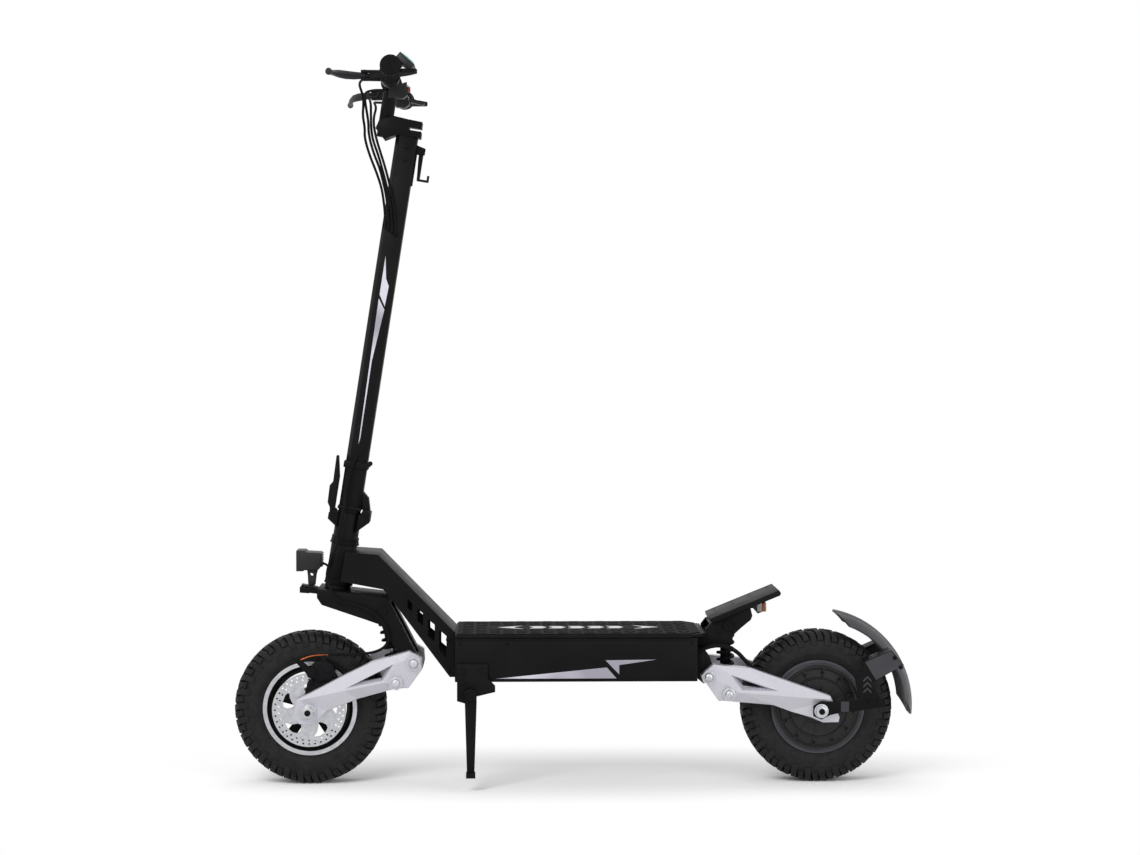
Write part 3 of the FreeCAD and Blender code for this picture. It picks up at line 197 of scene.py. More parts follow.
def cast_silver(colour):
    """Cast aluminium arms under silver paint: tiny metal flakes and a bright, broad sheen."""
    material, tree, shader = new_material("silver_painted_casting", Metallic=0.35, Roughness=0.4, Coat_Weight=0.15,
                                          Coat_Roughness=0.3)
    two_tone(tree, shader, object_noise(tree, 0.9, 2.0), colour, "#d2d1d9")
    vary(tree, shader, "Roughness", object_noise(tree, 14, 5.0), 0.32, 0.42)
    add_bump(tree, shader, object_noise(tree, 1.2, 3.0), "Fac", 0.04, 0.4)
    return material


def turned_steel(name, colour, second="#8f9094", rough=0.3):
    """Bright zinc plated or turned steel: fine tool marks that blur the reflections."""
    material, tree, shader = new_material(name, Metallic=1.0, Roughness=rough)
    two_tone(tree, shader, object_noise(tree, 8, 5.0), colour, second)
    vary(tree, shader, "Roughness", object_noise(tree, 2.5, 6.0), rough - 0.05, rough + 0.1)
    add_bump(tree, shader, object_noise(tree, 0.8, 2.0), "Fac", 0.02, 0.3)
    return material


def tyre_rubber(colour):
    """Vulcanised tyre rubber: matt, with mould marks and a trace of dust in the low places."""
    material, tree, shader = new_material("vulcanised_tyre_rubber", Roughness=0.62, IOR=1.52, Specular_IOR_Level=0.22)
    two_tone(tree, shader, object_noise(tree, 18, 6.0), colour, "#1d1d1d")
    vary(tree, shader, "Roughness", object_noise(tree, 6, 5.0), 0.52, 0.74)
    add_bump(tree, shader, object_noise(tree, 1.1, 4.0), "Fac", 0.12, 0.6)
    return material


def moulded_rubber():
    """Soft grip and mat rubber: dull, with a fine pebbled grain about 1.4 mm across."""
    material, tree, shader = new_material("moulded_soft_rubber", Base_Color=linear("#151516"), Roughness=0.8,
                                          Specular_IOR_Level=0.1)
    place = add_node(tree, "ShaderNodeTexCoord")
    grain = add_node(tree, "ShaderNodeTexVoronoi", None, {"Scale": 1 / (1.4 * MM)}, [("Vector", place, "Object")])
    add_bump(tree, shader, grain, "Distance", 0.15, 0.6)
    two_tone(tree, shader, object_noise(tree, 30, 3.0), "#101011", "#171718")
    return material


def moulded_plastic(name, colour, second, rough=0.45):
    """Injection moulded ABS with spark-eroded texture, half a millimetre in size."""
    material, tree, shader = new_material(name, Roughness=rough, IOR=1.53, Specular_IOR_Level=0.28)
    two_tone(tree, shader, object_noise(tree, 40, 3.0), colour, second)
    vary(tree, shader, "Roughness", object_noise(tree, 12, 4.0), rough - 0.05, rough + 0.07)
    add_bump(tree, shader, object_noise(tree, 0.7, 2.0), "Fac", 0.05, 0.45)
    return material


def tinted_glass(name, colour, rough=0.06, clear=0.6):
    """Polycarbonate lens: clear, glossy, a little tinted."""
    material, tree, shader = new_material(name, Base_Color=linear(colour), Roughness=rough, IOR=1.58,
                                          Transmission_Weight=clear)
    vary(tree, shader, "Roughness", object_noise(tree, 20, 2.0), rough, rough + 0.05)
    return material


def silver_decal(colour):
    """Printed foil sticker that darkens along its length, with a satin top film."""
    material, tree, shader = new_material("satin_foil_sticker", Metallic=0.25, Roughness=0.38, Coat_Weight=0.2)
    two_tone(tree, shader, object_noise(tree, 120, 1.0), "#9d9aa6", colour, 0.42, 0.58)
    add_bump(tree, shader, object_noise(tree, 0.6, 2.0), "Fac", 0.01, 0.3)
    return material


def white_print():
    """Screen printed white ink on rubber, a little worn."""
    material, tree, shader = new_material("screen_printed_ink", Roughness=0.55)
    two_tone(tree, shader, object_noise(tree, 5, 6.0), "#d8d8da", "#f2f2f4", 0.3, 0.5)
    add_bump(tree, shader, object_noise(tree, 1.0, 2.0), "Fac", 0.03, 0.4)
    return material


def copper_wire():
    """Enamelled copper: warm metal with fine strands."""
    material, tree, shader = new_material("enamelled_copper", Metallic=1.0, Roughness=0.3)
    two_tone(tree, shader, object_noise(tree, 1.5, 3.0), "#b5653a", "#8a4526")
    return material


FINISH = {}


def make_finishes(colours):
    FINISH.update(
        frame=powder_coat("satin_powder_coat", colours.frame_black, "#121213"),
        band=powder_coat("lighter_powder_coat", "#2c2c2f", "#38383b"),
        grey_ring=powder_coat("grey_powder_coat", "#4a4a4e", "#55555a"),
        silver=cast_silver(colours.arm_silver),
        steel=turned_steel("zinc_plated_steel", "#b9babd"),
        disc=turned_steel("ground_stainless_steel", "#c6c7cb", "#b4b5ba", 0.32),
        black_steel=powder_coat("black_oxide_steel", "#0a0a0b", "#131315"),
        tyre=tyre_rubber(colours.tyre_black),
        rubber=moulded_rubber(),
        plastic=moulded_plastic("moulded_black_abs", "#121213", "#1c1c1e"),
        cover=moulded_plastic("cast_motor_cover", "#131314", "#1a1a1c", 0.36),
        guard=moulded_plastic("moulded_grey_polypropylene", colours.guard_grey, "#47474b", 0.4),
        tab=powder_coat("grey_steel_tab", "#424246", "#4c4c50"),
        glass=tinted_glass("tinted_polycarbonate", "#a9e8e4", 0.06, 0.1),
        lamp=tinted_glass("clear_polycarbonate", "#e8eef0", 0.1),
        amber=tinted_glass("amber_polycarbonate", "#d8701c", 0.15),
        red=moulded_plastic("glossy_red_abs", colours.horn_red, "#b3261e", 0.25),
        decal=silver_decal(colours.decal_silver),
        ink=white_print(),
        copper=copper_wire(),
        black_gloss=powder_coat("gloss_black_lacquer", "#0d0d0e", "#161618"),
    )


# ---- making pieces ----

def add_object(name, data):
    piece = bpy.data.objects.new(name, data)
    bpy.context.scene.collection.objects.link(piece)
    return piece


def finish_piece(name, bm, material, body, replaces=(), smooth=SMOOTH_ANGLE):
    """Turns a bmesh into a piece with outward normals that rides on a CAD body."""
    bmesh.ops.remove_doubles(bm, verts=bm.verts, dist=WELD)
    bmesh.ops.recalc_face_normals(bm, faces=bm.faces)
    mesh = bpy.data.meshes.new(name)
    bm.to_mesh(mesh)
    bm.free()
    piece = add_object(name, mesh)
    mesh.materials.append(FINISH[material])
    mesh.shade_smooth()
    mesh.set_sharp_from_angle(angle=math.radians(smooth))
    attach(piece, body)
    if replaces:
        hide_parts(*replaces)


def bevel(bm, edges, width, segments=2):
    bmesh.ops.bevel(bm, geom=list(edges), offset=width, offset_type="OFFSET", segments=segments, profile=0.5,
                    affect="EDGES", material=-1, clamp_overlap=True)


def round_off(bm, made, edges, width, segments=2):
    """Rounds edges of a shape just made and gives all of its vertices."""
    new = bmesh.ops.bevel(bm, geom=list(edges), offset=width, offset_type="OFFSET", segments=segments, profile=0.5,
                          affect="EDGES", material=-1)
    return list({vert for face in new["faces"] for vert in face.verts} | {vert for vert in made if vert.is_valid})


def sharp_edges(bm, degrees=35):
    return [edge for edge in bm.edges if len(edge.link_faces) == 2 and edge.calc_face_angle(0) > math.radians(degrees)]


def add_box(bm, low, high, rounding=0.0, turn=None):
    """A rounded block between two corners, optionally turned about its own centre."""
    low, high = Vector(low), Vector(high)
    made = bmesh.ops.create_cube(bm, size=1)["verts"]
    bmesh.ops.scale(bm, vec=high - low, verts=made)
    edges = {edge for vert in made for edge in vert.link_edges}
    if rounding:
        made = round_off(bm, made, edges, rounding)
    if turn is not None:
        bmesh.ops.transform(bm, matrix=turn.to_4x4(), verts=made)
    bmesh.ops.translate(bm, vec=(low + high) / 2, verts=made)
    return made


def add_turned(bm, profile, centre, axis, steps=96):
    """Spins a closed profile of (along, radius) pairs in millimetres about an axis through centre."""
    axis = Vector(axis).normalized()
    side = axis.orthogonal().normalized()
    verts = [bm.verts.new(Vector(centre) + axis * (along * MM) + side * (radius * MM)) for along, radius in profile]
    edges = [bm.edges.new((verts[index], verts[(index + 1) % len(verts)])) for index in range(len(verts))]
    bmesh.ops.spin(bm, geom=verts + edges, cent=centre, axis=axis, angle=math.tau, steps=steps, use_merge=True)


def add_rod(bm, start, end, radius, rounding=0.6 * MM, sides=32):
    """A rod with rounded rims."""
    start, end = Vector(start), Vector(end)
    length = (end - start).length
    made = bmesh.ops.create_cone(bm, cap_ends=True, segments=sides, radius1=radius, radius2=radius,
                                 depth=length)["verts"]
    rims = {edge for vert in made for edge in vert.link_edges if any(len(face.verts) > 4 for face in edge.link_faces)}
    made = round_off(bm, made, rims, rounding)
    turn = (end - start).to_track_quat("Z", "Y").to_matrix().to_4x4()
    bmesh.ops.transform(bm, matrix=Matrix.Translation((start + end) / 2) @ turn, verts=made)
    return made


def add_prism(bm, corners, low_y, high_y, holes=(), rounding=0.0, segments=2):
    """Extrudes an outline in X and Z, with holes, between two Y values."""
    edges = []
    for loop in (corners, *holes):
        verts = [bm.verts.new((x, low_y, z)) for x, z in loop]
        edges += [bm.edges.new((verts[index], verts[(index + 1) % len(verts)])) for index in range(len(verts))]
    filled = bmesh.ops.triangle_fill(bm, edges=edges, use_beauty=True, use_dissolve=True)
    faces = [item for item in filled["geom"] if isinstance(item, bmesh.types.BMFace)]
    moved = bmesh.ops.extrude_face_region(bm, geom=faces)
    top = [item for item in moved["geom"] if isinstance(item, bmesh.types.BMVert)]
    bmesh.ops.translate(bm, vec=(0, high_y - low_y, 0), verts=top)
    made = {vert for face in faces for vert in face.verts} | set(top)
    around = {edge for vert in made for edge in vert.link_edges}
    bmesh.ops.recalc_face_normals(bm, faces=list({face for edge in around for face in edge.link_faces}))
    if rounding:
        rims = [edge for edge in around if len(edge.link_faces) == 2 and edge.calc_face_angle(0) > math.radians(60)
                and abs(edge.verts[0].co.y - edge.verts[1].co.y) < 1e-6]
        bevel(bm, rims, rounding, segments)


def near(anchor, *offsets):
    """Outline points in millimetres from an anchor, as X and Z in metres."""
    return [(anchor.x + dx * MM, anchor.z + dz * MM) for dx, dz in offsets]


def outline(points):
    """Points in millimetres as X and Z in metres."""
    return [(x * MM, z * MM) for x, z in points]


def sideways(across):
    """An offset along Y, given in millimetres."""
    return Vector((0, across * MM, 0))


def on_axis(ahead, across, along):
    """A point given in millimetres round the steering axis, above the fold seat."""
    return SEAT + AHEAD * ahead * MM + sideways(across) + STEER_AXIS * along * MM


def arc(centre, radius, start, end, count):
    """Points on an arc in X and Z, angles in degrees."""
    step = (end - start) / count
    return [(centre.x + radius * math.cos(math.radians(start + step * index)),
             centre.z + radius * math.sin(math.radians(start + step * index))) for index in range(count + 1)]


def add_wire(name, kind, places, radius, material):
    """A round wire through places in metres, and its spline of the given kind."""
    curve = bpy.data.curves.new(name, "CURVE")
    curve.dimensions = "3D"
    spline = curve.splines.new(kind)
    spline.points.add(len(places) - 1)
    for point, place in zip(spline.points, places):
        point.co = (*place, 1)
    curve.bevel_depth = radius
    curve.bevel_resolution = 4
    curve.use_fill_caps = True
    curve.materials.append(FINISH[material])
    return add_object(name, curve), spline


def cable_piece(name, points, radius, material="rubber"):
    """A round cable along one smooth line through control points in millimetres."""
    places = [[value * MM for value in point] for point in points]
    piece, spline = add_wire(name, "NURBS", places, radius, material)
    spline.order_u = 3
    spline.use_endpoint_u = True
    spline.resolution_u = 12
    return piece


def to_mesh(curve_piece, body=None):
    """Turns a curve piece into a mesh piece, and attaches it to a body if one is given."""
    graph = bpy.context.evaluated_depsgraph_get()
    mesh = bpy.data.meshes.new_from_object(curve_piece.evaluated_get(graph))
    name = curve_piece.name
    bpy.data.objects.remove(curve_piece)
    piece = add_object(name, mesh)
    mesh.shade_smooth()
    if body:
        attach(piece, body)
    return piece


def softened(node, finish, body, width, degrees=28, segments=2):
    """A merged copy of a CAD node whose sharp edges are rounded; it stands for the node."""
    bm = bmesh.new()
    bm.from_mesh(frame["nodes"][node].data)
    bm.transform(frame["nodes"][node].matrix_world)
    bmesh.ops.remove_doubles(bm, verts=bm.verts, dist=0.02 * MM)
    bmesh.ops.dissolve_limit(bm, angle_limit=math.radians(0.6), verts=bm.verts, edges=bm.edges)
    wanted = [edge for edge in sharp_edges(bm, degrees) if edge.calc_length() > width * 0.8]
    bevel(bm, wanted, width, segments)
    finish_piece(node + "_finished", bm, finish, body, (node,), 50)


# ---- wheels ----

# How far a tread block leans round the wheel for each step outwards, and in millimetres the carcass's
# crown and the radius from which the blocks' height is counted
LUG_LEAN = 0.3
CROWN = 126.0
LUG_FOOT = 127.8


def add_lug(bm, profile, half, turn, steps):
    """Tread blocks round the wheel: (Y, radius) corners in millimetres, half the length of one, first angle."""
    middle = sum(radius for _, radius in profile) / len(profile)
    face = bm.faces.new([bm.verts.new((-half * (0.94 if radius > middle else 1.06) * MM, across * MM, radius * MM))
                         for across, radius in profile])
    moved = bmesh.ops.extrude_face_region(bm, geom=[face])
    far = [item for item in moved["geom"] if isinstance(item, bmesh.types.BMVert)]
    for vert in far:
        vert.co.x = -vert.co.x
    made = list(face.verts) + far
    for vert in made:
        vert.co.x += LUG_LEAN * abs(vert.co.y)
    rims = {edge for vert in far for edge in vert.link_edges if all(end in far for end in edge.verts)}
    made = round_off(bm, made, list(rims) + list(face.edges), 0.5 * MM, 1)
    bmesh.ops.rotate(bm, cent=(0, 0, 0), matrix=Matrix.Rotation(math.radians(turn), 3, "Y"), verts=made)
    edges = {edge for vert in made for edge in vert.link_edges}
    geom = made + list(edges) + list({item for vert in made for item in vert.link_faces})
    bmesh.ops.spin(bm, geom=geom, cent=(0, 0, 0), axis=(0, 1, 0), angle=math.tau * (steps - 1) / steps,
                   steps=steps - 1, use_duplicate=True)


def tyre(name, centre, body, sizes):
    """Off-road tyre: a crowned carcass with staggered centre blocks and long shoulder blocks."""
    bm = bmesh.new()
    half = [(33, 82.5), (34.6, 86), (36.0, 92), (36.9, 94.0), (36.9, 95.2), (36.8, 104), (36.2, 112), (33.5, 119),
            (28.5, 122), (22, 124.6), (11, 125.8)]
    ring = [(-along, radius) for along, radius in half] + [(0, CROWN)] + half[::-1] + [(28, 84.5), (-28, 84.5)]
    add_turned(bm, ring, (0, 0, 0), (0, 1, 0), 120)
    top = LUG_FOOT + sizes.knob_height / MM
    steps = sizes.knob_rows
    pitch = 360 / steps
    for side in BOTH_SIDES:
        shift = 0 if side < 0 else pitch / 2
        add_lug(bm,
                [(side * 1.6, 123.5), (side * 1.6, top), (side * 13, top - 0.1), (side * 17.5, top - 0.5),
                 (side * 17.5, 123.5)], 7.6, shift, steps)
        add_lug(bm,
                [(side * 20, 122), (side * 20, top - 0.6), (side * 29, top - 2.2), (side * 35.5, top - 8),
                 (side * 37.6, 116),
                     (side * 37.6, 108), (side * 35, 106), (side * 32, 114)], 5.2, shift + pitch / 4, steps)
        add_lug(bm,
                [(side * 21.5, 122), (side * 21.5, top - 0.8), (side * 29, top - 2.4), (side * 35.3, top - 8.5),
                 (side * 37.4, 118),
                     (side * 35, 116), (side * 31, 118)], 4.8, shift - pitch / 4, steps)
    bmesh.ops.translate(bm, vec=centre, verts=bm.verts)
    finish_piece(name, bm, "tyre", body, (name.replace("_tread", ""),), 35)


def rim_ring(bm, centre, side, radius, width, face):
    """A thin lip that shows between the tyre and the wheel."""
    add_turned(bm, [((side * face - 1.2), (radius - width)), ((side * face + 0.4), (radius - width + 0.6)),
                    ((side * face + 0.4), (radius - 0.4)), ((side * face - 1.2), radius)], centre, (0, 1, 0), 128)


def front_wheel_trim():
    bm = bmesh.new()
    for side in BOTH_SIDES:
        rim_ring(bm, FRONT_AXLE, side, 82.4, 7.2, 34.4)
    finish_piece("front_rim_lip", bm, "disc", "front_wheel")
    bm = bmesh.new()
    for index in range(6):
        turn = math.radians(60 * index + 30)
        place = FRONT_AXLE + Vector((15.5 * math.cos(turn), -56.2, 15.5 * math.sin(turn))) * MM
        add_rod(bm, place, place - Vector((0, 2.2, 0)) * MM, 2.6 * MM, 0.5 * MM, 20)
    finish_piece("disc_screws", bm, "black_steel", "front_wheel", smooth=40)
    bm = bmesh.new()
    start = FRONT_AXLE + Vector((0, 0, -80)) * MM
    add_rod(bm, start + Vector((0, -20, 0)) * MM, start + Vector((0, -28, 12)) * MM, 3 * MM, 0.8 * MM, 20)
    add_rod(bm, start + Vector((0, -28, 12)) * MM, start + Vector((0, -31, 17)) * MM, 3.8 * MM, 0.8 * MM, 20)
    finish_piece("front_valve", bm, "rubber", "front_wheel", smooth=40)


def rear_wheel_trim():
    bm = bmesh.new()
    for side in BOTH_SIDES:
        rim_ring(bm, REAR_AXLE, side, 82.4, 4.4, 34.4)
    finish_piece("rear_rim_lip", bm, "grey_ring", "rear_wheel")
    bm = bmesh.new()
    side = -1
    face = 45
    for low, high, top in ((69.5, 73.5, 0.9), (50.5, 53.5, 0.9), (27, 31, 1.6)):
        add_turned(bm, [(side * (face - 1), low), (side * (face + top), (low + 0.7)),
                        (side * (face + top), (high - 0.7)), (side * (face - 1), high)], REAR_AXLE, (0, 1, 0), 128)
    for index in range(12):
        made = add_box(bm, Vector((31 * MM, -46.2 * MM, -1.5 * MM)), Vector((50 * MM, -44.4 * MM, 1.5 * MM)), 0.5 * MM)
        made += add_box(bm, Vector((53.5 * MM, -45.9 * MM, -1.2 * MM)), Vector((69.5 * MM, -44.4 * MM, 1.2 * MM)),
                        0.4 * MM)
        bmesh.ops.rotate(bm, cent=(0, 0, 0), matrix=Matrix.Rotation(math.radians(30 * index + 8), 3, "Y"), verts=made)
        bmesh.ops.translate(bm, vec=REAR_AXLE, verts=made)
    finish_piece("motor_cover_ribs", bm, "cover", "rear_wheel")
    bm = bmesh.new()
    for index in range(12):
        turn = math.radians(30 * index + 23)
        place = REAR_AXLE + Vector((62 * math.cos(turn), -44.6, 62 * math.sin(turn))) * MM
        add_rod(bm, place, place - Vector((0, 1.7, 0)) * MM, 2.5 * MM, 0.6 * MM, 20)
    finish_piece("motor_cover_screws", bm, "black_steel", "rear_wheel", smooth=40)


# ---- suspension ----

# Straight steps in one turn of a spring's wire
STEPS_PER_TURN = 28


def shock_line(top, eye, along):
    """A point on a shock, so many millimetres from its top bolt."""
    line = (eye - top).normalized()
    return top + line * along * MM


def coil(name, top, eye, start, end, radius, sizes):
    """A coil spring wound along the shock between two distances from its top bolt."""
    line = (eye - top).normalized()
    across = Vector((0, 1, 0))
    other = line.cross(across)
    steps = int(sizes.spring_turns * STEPS_PER_TURN)
    places = []
    for index in range(steps + 1):
        share = index / steps
        turn = math.tau * sizes.spring_turns * share
        along = start + (end - start) * share
        places.append(top + line * along * MM + (across * math.cos(turn) + other * math.sin(turn)) * radius * MM)
    piece = to_mesh(add_wire(name, "POLY", places, sizes.spring_wire / 2, "black_gloss")[0])
    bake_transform(piece)


def shock(name, top, eye, upper, lower, sizes):
    """Spring, body with its threaded collars, and rod of one shock absorber."""
    length = (eye - top).length / MM
    line = (eye - top).normalized()
    bm = bmesh.new()
    rings = [(7, 0), (7, 9.4), (10, 10), (12, 16.4), (17, 16.6), (18, 15), (19, 10.6)]
    for index in range(12):
        rings += [(20 + 1.6 * index, 10.6), (20.8 + 1.6 * index, 9.6)]
    rings += [(40, 9.2), (72, 9.2), (73.5, 8.4), (73.5, 0)]
    add_turned(bm, rings, top, line, 64)
    add_rod(bm, top - sideways(12), top + sideways(12), 9.6 * MM, 0.8 * MM, 48)
    for index in range(8):
        turn = Matrix.Rotation(math.tau * index / 8, 4, line)
        made = add_rod(bm, shock_line(top, eye, 12.6), shock_line(top, eye, 16.4), 2.2 * MM, 0.4 * MM, 12)
        side = line.orthogonal().normalized() * 14.8 * MM
        bmesh.ops.translate(bm, vec=turn @ side, verts=made)
    finish_piece(name + "_shock_upper", bm, "black_gloss", upper, (name + "_shock_body",))
    bm = bmesh.new()
    rings = [(74.0, 0), (74.0, 5), (length - 24, 5), (length - 23, 8), (length - 20.5, 16.2), (length - 17.5, 16.4),
             (length - 16.5, 15.4), (length - 14, 9), (length - 7, 7.5), (length - 7, 0)]
    add_turned(bm, rings, top, line, 64)
    add_rod(bm, eye - sideways(9.5), eye + sideways(9.5), 8.8 * MM, 0.8 * MM, 48)
    finish_piece(name + "_shock_lower", bm, "steel", lower, (name + "_shock_rod",))
    coil(name + "_shock_spring", top, eye, 19.5, length - 23.5, 13.6, sizes)


def dome(bm, centre, side, radius, height):
    """A domed bolt head that faces the side."""
    line = Vector((0, side, 0))
    profile = [(0, 0), (0, radius)]
    profile += [(height * math.sin(math.radians(turn)), radius * math.cos(math.radians(turn)) ** 0.8)
                for turn in range(15, 90, 15)]
    profile += [(height, 0)]
    add_turned(bm, profile, centre, line, 48)


def side_screws(name, body, spots, face, tall, radius, rounding):
    """Screw heads on both sides of the scooter, at spots in X and Z, in millimetres."""
    bm = bmesh.new()
    for x, z in spots:
        for side in BOTH_SIDES:
            place = Vector((x, side * face, z)) * MM
            add_rod(bm, place, place + sideways(side * tall), radius * MM, rounding * MM, 32)
    finish_piece(name, bm, "black_steel", body)


def hexagon_nut(bm, centre, side, across, tall):
    """A chamfered hexagon nut on the Y axis."""
    made = bmesh.ops.create_cone(bm, cap_ends=True, segments=6, radius1=across * MM, radius2=across * MM,
                                 depth=tall * MM)["verts"]
    rims = {edge for vert in made for edge in vert.link_edges if any(len(face.verts) == 6 for face in edge.link_faces)}
    made = round_off(bm, made, rims, 0.9 * MM)
    bmesh.ops.rotate(bm, cent=(0, 0, 0), matrix=Matrix.Rotation(math.radians(90), 3, "X"), verts=made)
    bmesh.ops.translate(bm, vec=centre + sideways(side * tall / 2), verts=made)


# ---- arms ----

# Corners of each arm as X, Z and how far the facet lies behind the outer face, in millimetres
FRONT_CORNERS = {
    "tip": (-484.7, 154.5, 0), "rise": (-402.3, 197.6, 4.6), "bend": (-354.6, 220.6, 4.6),
                 "crest": (-289.5, 239.2, 3.6),
    "nose": (-267.9, 226.5, 5.2), "heel": (-266.7, 207.5, 8), "sole": (-291.2, 173.7, 12), "step": (-301.4, 173.5, 12),
    "foot": (-324.2, 169.9, 15), "belly": (-379.5, 154.5, 17), "root": (-432.8, 134.2, 12), "toe": (-445.5, 122.4, 6.5),
    "low": (-460.6, 111.4, 6.5), "end": (-480.6, 112.4, 6), "back": (-491.1, 125.4, 4.5),
    "ridge": (-400.7, 171.2, 0), "corner": (-331.0, 185.0, 0), "inner": (-320.3, 202.6, 1.6),
                 "upper": (-297.7, 223.6, 2.2),
    "v0": (-398.5, 175.6, 0.6), "v1": (-316.6, 216.8, 1.4), "v2": (-335.6, 188.6, 0.3),
    "w0": (-377.4, 185.6, 8), "w1": (-326.7, 210.3, 8), "w2": (-338.1, 190.6, 8),
}
FRONT_FACETS = (
    "tip rise v0 ridge", "rise bend v1 v0", "bend crest upper v1", "v1 upper inner corner v2", "v0 v2 corner ridge",
    "v0 v1 w1 w0", "v1 v2 w2 w1", "v2 v0 w0 w2", "crest nose upper", "upper nose heel inner", "inner heel sole corner",
    "corner sole step foot", "tip ridge belly root", "ridge corner belly", "corner foot belly",
    "tip root toe low end back",
)
REAR_CORNERS = {
    "b0": (217.3, 195.5, 6), "b1": (238.6, 214.0, 3.6), "b2": (302.2, 208.2, 4.6), "b3": (443.5, 158.7, 0.8),
    "b4": (460.0, 121.5, 4), "b5": (458.5, 112.5, 6), "b6": (431.2, 111.9, 6.5), "b7": (413.2, 119.4, 10),
    "b8": (373.7, 130.7, 14), "b9": (346.4, 141.1, 16.5), "b10": (256.4, 149.6, 14), "b11": (249.3, 149.1, 12),
    "q0": (260.5, 181.2, 1.4), "q1": (284.0, 165.6, 0), "q2": (441.0, 152.6, 0),
    "v0": (269.8, 196.4, 1.2), "v1": (353.0, 168.0, 0.8), "v2": (289.2, 169.8, 0.4),
    "w0": (278.3, 191.4, 8), "w1": (331.4, 172.1, 8), "w2": (293.4, 174.7, 8),
}
REAR_FACETS = (
    "b1 b2 v1 v0", "b2 b3 q2 v1", "v2 v1 q2 q1", "b1 v0 v2 q0", "v2 q1 q0", "v0 v1 w1 w0", "v1 v2 w2 w1", "v2 v0 w0 w2",
    "b0 b1 q0", "b0 q0 b11", "q0 q1 b10 b11", "q1 b9 b10", "q1 q2 b8 b9", "q2 b3 b4 b5 b6 b7 b8",
)
ARM_FACE = 86.0
ARM_INNER = 62.0


def sculpted_arms(name, corners, facets, body, node, bosses, sides=6):
    """Both arms of one wheel: a faceted outer face drawn inwards to the flat inner one, with raised bosses."""
    bm = bmesh.new()
    for side in BOTH_SIDES:
        verts = {key: bm.verts.new((x * MM, side * (ARM_FACE - inset) * MM, z * MM)) for key,
                 (x, z, inset) in corners.items()}
        faces = [bm.faces.new([verts[key] for key in facet.split()]) for facet in facets]
        bmesh.ops.recalc_face_normals(bm, faces=faces)
        rim = [edge for edge in bm.edges if edge.is_boundary and all(vert in verts.values() for vert in edge.verts)]
        moved = bmesh.ops.extrude_face_region(bm, geom=faces, use_keep_orig=True)
        for vert in (item for item in moved["geom"] if isinstance(item, bmesh.types.BMVert)):
            vert.co.y = side * ARM_INNER * MM
        bmesh.ops.recalc_face_normals(bm, faces=bm.faces)
        bevel(bm, [edge for edge in rim if edge.is_valid], 1.0 * MM, 1)
        for centre, radius, low, high, turn in bosses:
            made = bmesh.ops.create_cone(bm, cap_ends=True, segments=sides, radius1=(radius + 1.2) * MM,
                                         radius2=radius * MM,
                                         depth=(high - low) * MM)["verts"]
            bmesh.ops.rotate(bm, cent=(0, 0, 0), matrix=Matrix.Rotation(math.radians(turn), 3, "Z"), verts=made)
            bmesh.ops.rotate(bm, cent=(0, 0, 0), matrix=Matrix.Rotation(math.radians(-90 * side), 3, "X"), verts=made)
            bmesh.ops.translate(bm, vec=Vector((centre.x, side * (low + high) / 2 * MM, centre.z)), verts=made)
    finish_piece(name, bm, "silver", body, (node,), 3)


class SCOOTER_OT_arms(bpy.types.Operator):
    """Machine the faceted front and rear arms."""
    bl_idname = "scooter.arms"
    bl_label = "Arms"

    def execute(self, context):
        sculpted_arms("front_arms_sculpted", FRONT_CORNERS, FRONT_FACETS, "front_arm", "front_arms",
                      ((FRONT_PIVOT, 13.4, 76, 86.2, 10), (FRONT_EYE, 13.0, 76, 86.2, 10),
                       (FRONT_AXLE, 15.8, 76, 85.6, 0)))
        sculpted_arms("rear_arms_sculpted", REAR_CORNERS, REAR_FACETS, "rear_arm", "rear_arms",
                      ((REAR_PIVOT, 12.6, 76, 86.2, 20), (REAR_EYE, 12.4, 76, 86.2, 20)))
        return {"FINISHED"}


# ---- operators ----

CAD_FINISH = {
    "plastic": ("bar_controls", "battery_pack", "charge_port", "tail_light_housing", "throttle_trigger"),
    "frame": ("handlebar", "headset_cups", "steerer_tube", "front_rim"),
    "black_steel": ("chassis_bolts", "steering_pins", "hook_strip_and_pins", "stem_hook"),
    "steel": ("front_axle_and_bolts", "front_bearings", "rear_axle_and_bolts"),
    "disc": ("rear_disc",),
    "rubber": ("kickstand_foot", "grips", "deck_mat"),
    "silver": ("motor_controller",),
    "cover": ("motor_covers",),
    "grey_ring": ("hub_motor_shell",),
    "copper": ("motor_stator",),
    "red": ("horn_button",),
    "lamp": ("headlight_lens",),
}
SOFTENED = (
    ("neck_frame", "frame", "chassis", 1.0), ("deck_case", "frame", "chassis", 1.4),
            ("deck_lid", "frame", "chassis", 1.2),
    ("rear_pivot_block", "frame", "chassis", 0.9), ("footrest_bracket", "frame", "chassis", 0.7),
    ("footrest_plate", "frame", "chassis", 0.7), ("kickstand_bracket", "frame", "chassis", 0.5),
    ("kickstand_leg", "black_steel", "kickstand", 0.9), ("fork_yoke", "frame", "steering", 0.9),
    ("fold_base", "frame", "steering", 0.8), ("latch_lever", "frame", "latch", 0.9),
    ("stem_tube", "frame", "stem", 1.6),
    ("stem_clamp", "frame", "stem", 0.9), ("display_housing", "plastic", "stem", 1.2),
    ("brake_perches", "black_steel", "stem", 0.6), ("fender_brackets", "frame", "rear_arm", 0.6),
)


class SCOOTER_OT_finishes(bpy.types.Operator):
    """Make the finishes and give them to the frame's own parts."""
    bl_idname = "scooter.finishes"
    bl_label = "Finishes"

    def execute(self, context):
        make_finishes(context.scene.scooter_colours)
        for finish, names in CAD_FINISH.items():
            for name in names:
                node = frame["nodes"][name]
                for socket in node.material_slots:
                    socket.material = FINISH[finish]
        return {"FINISHED"}


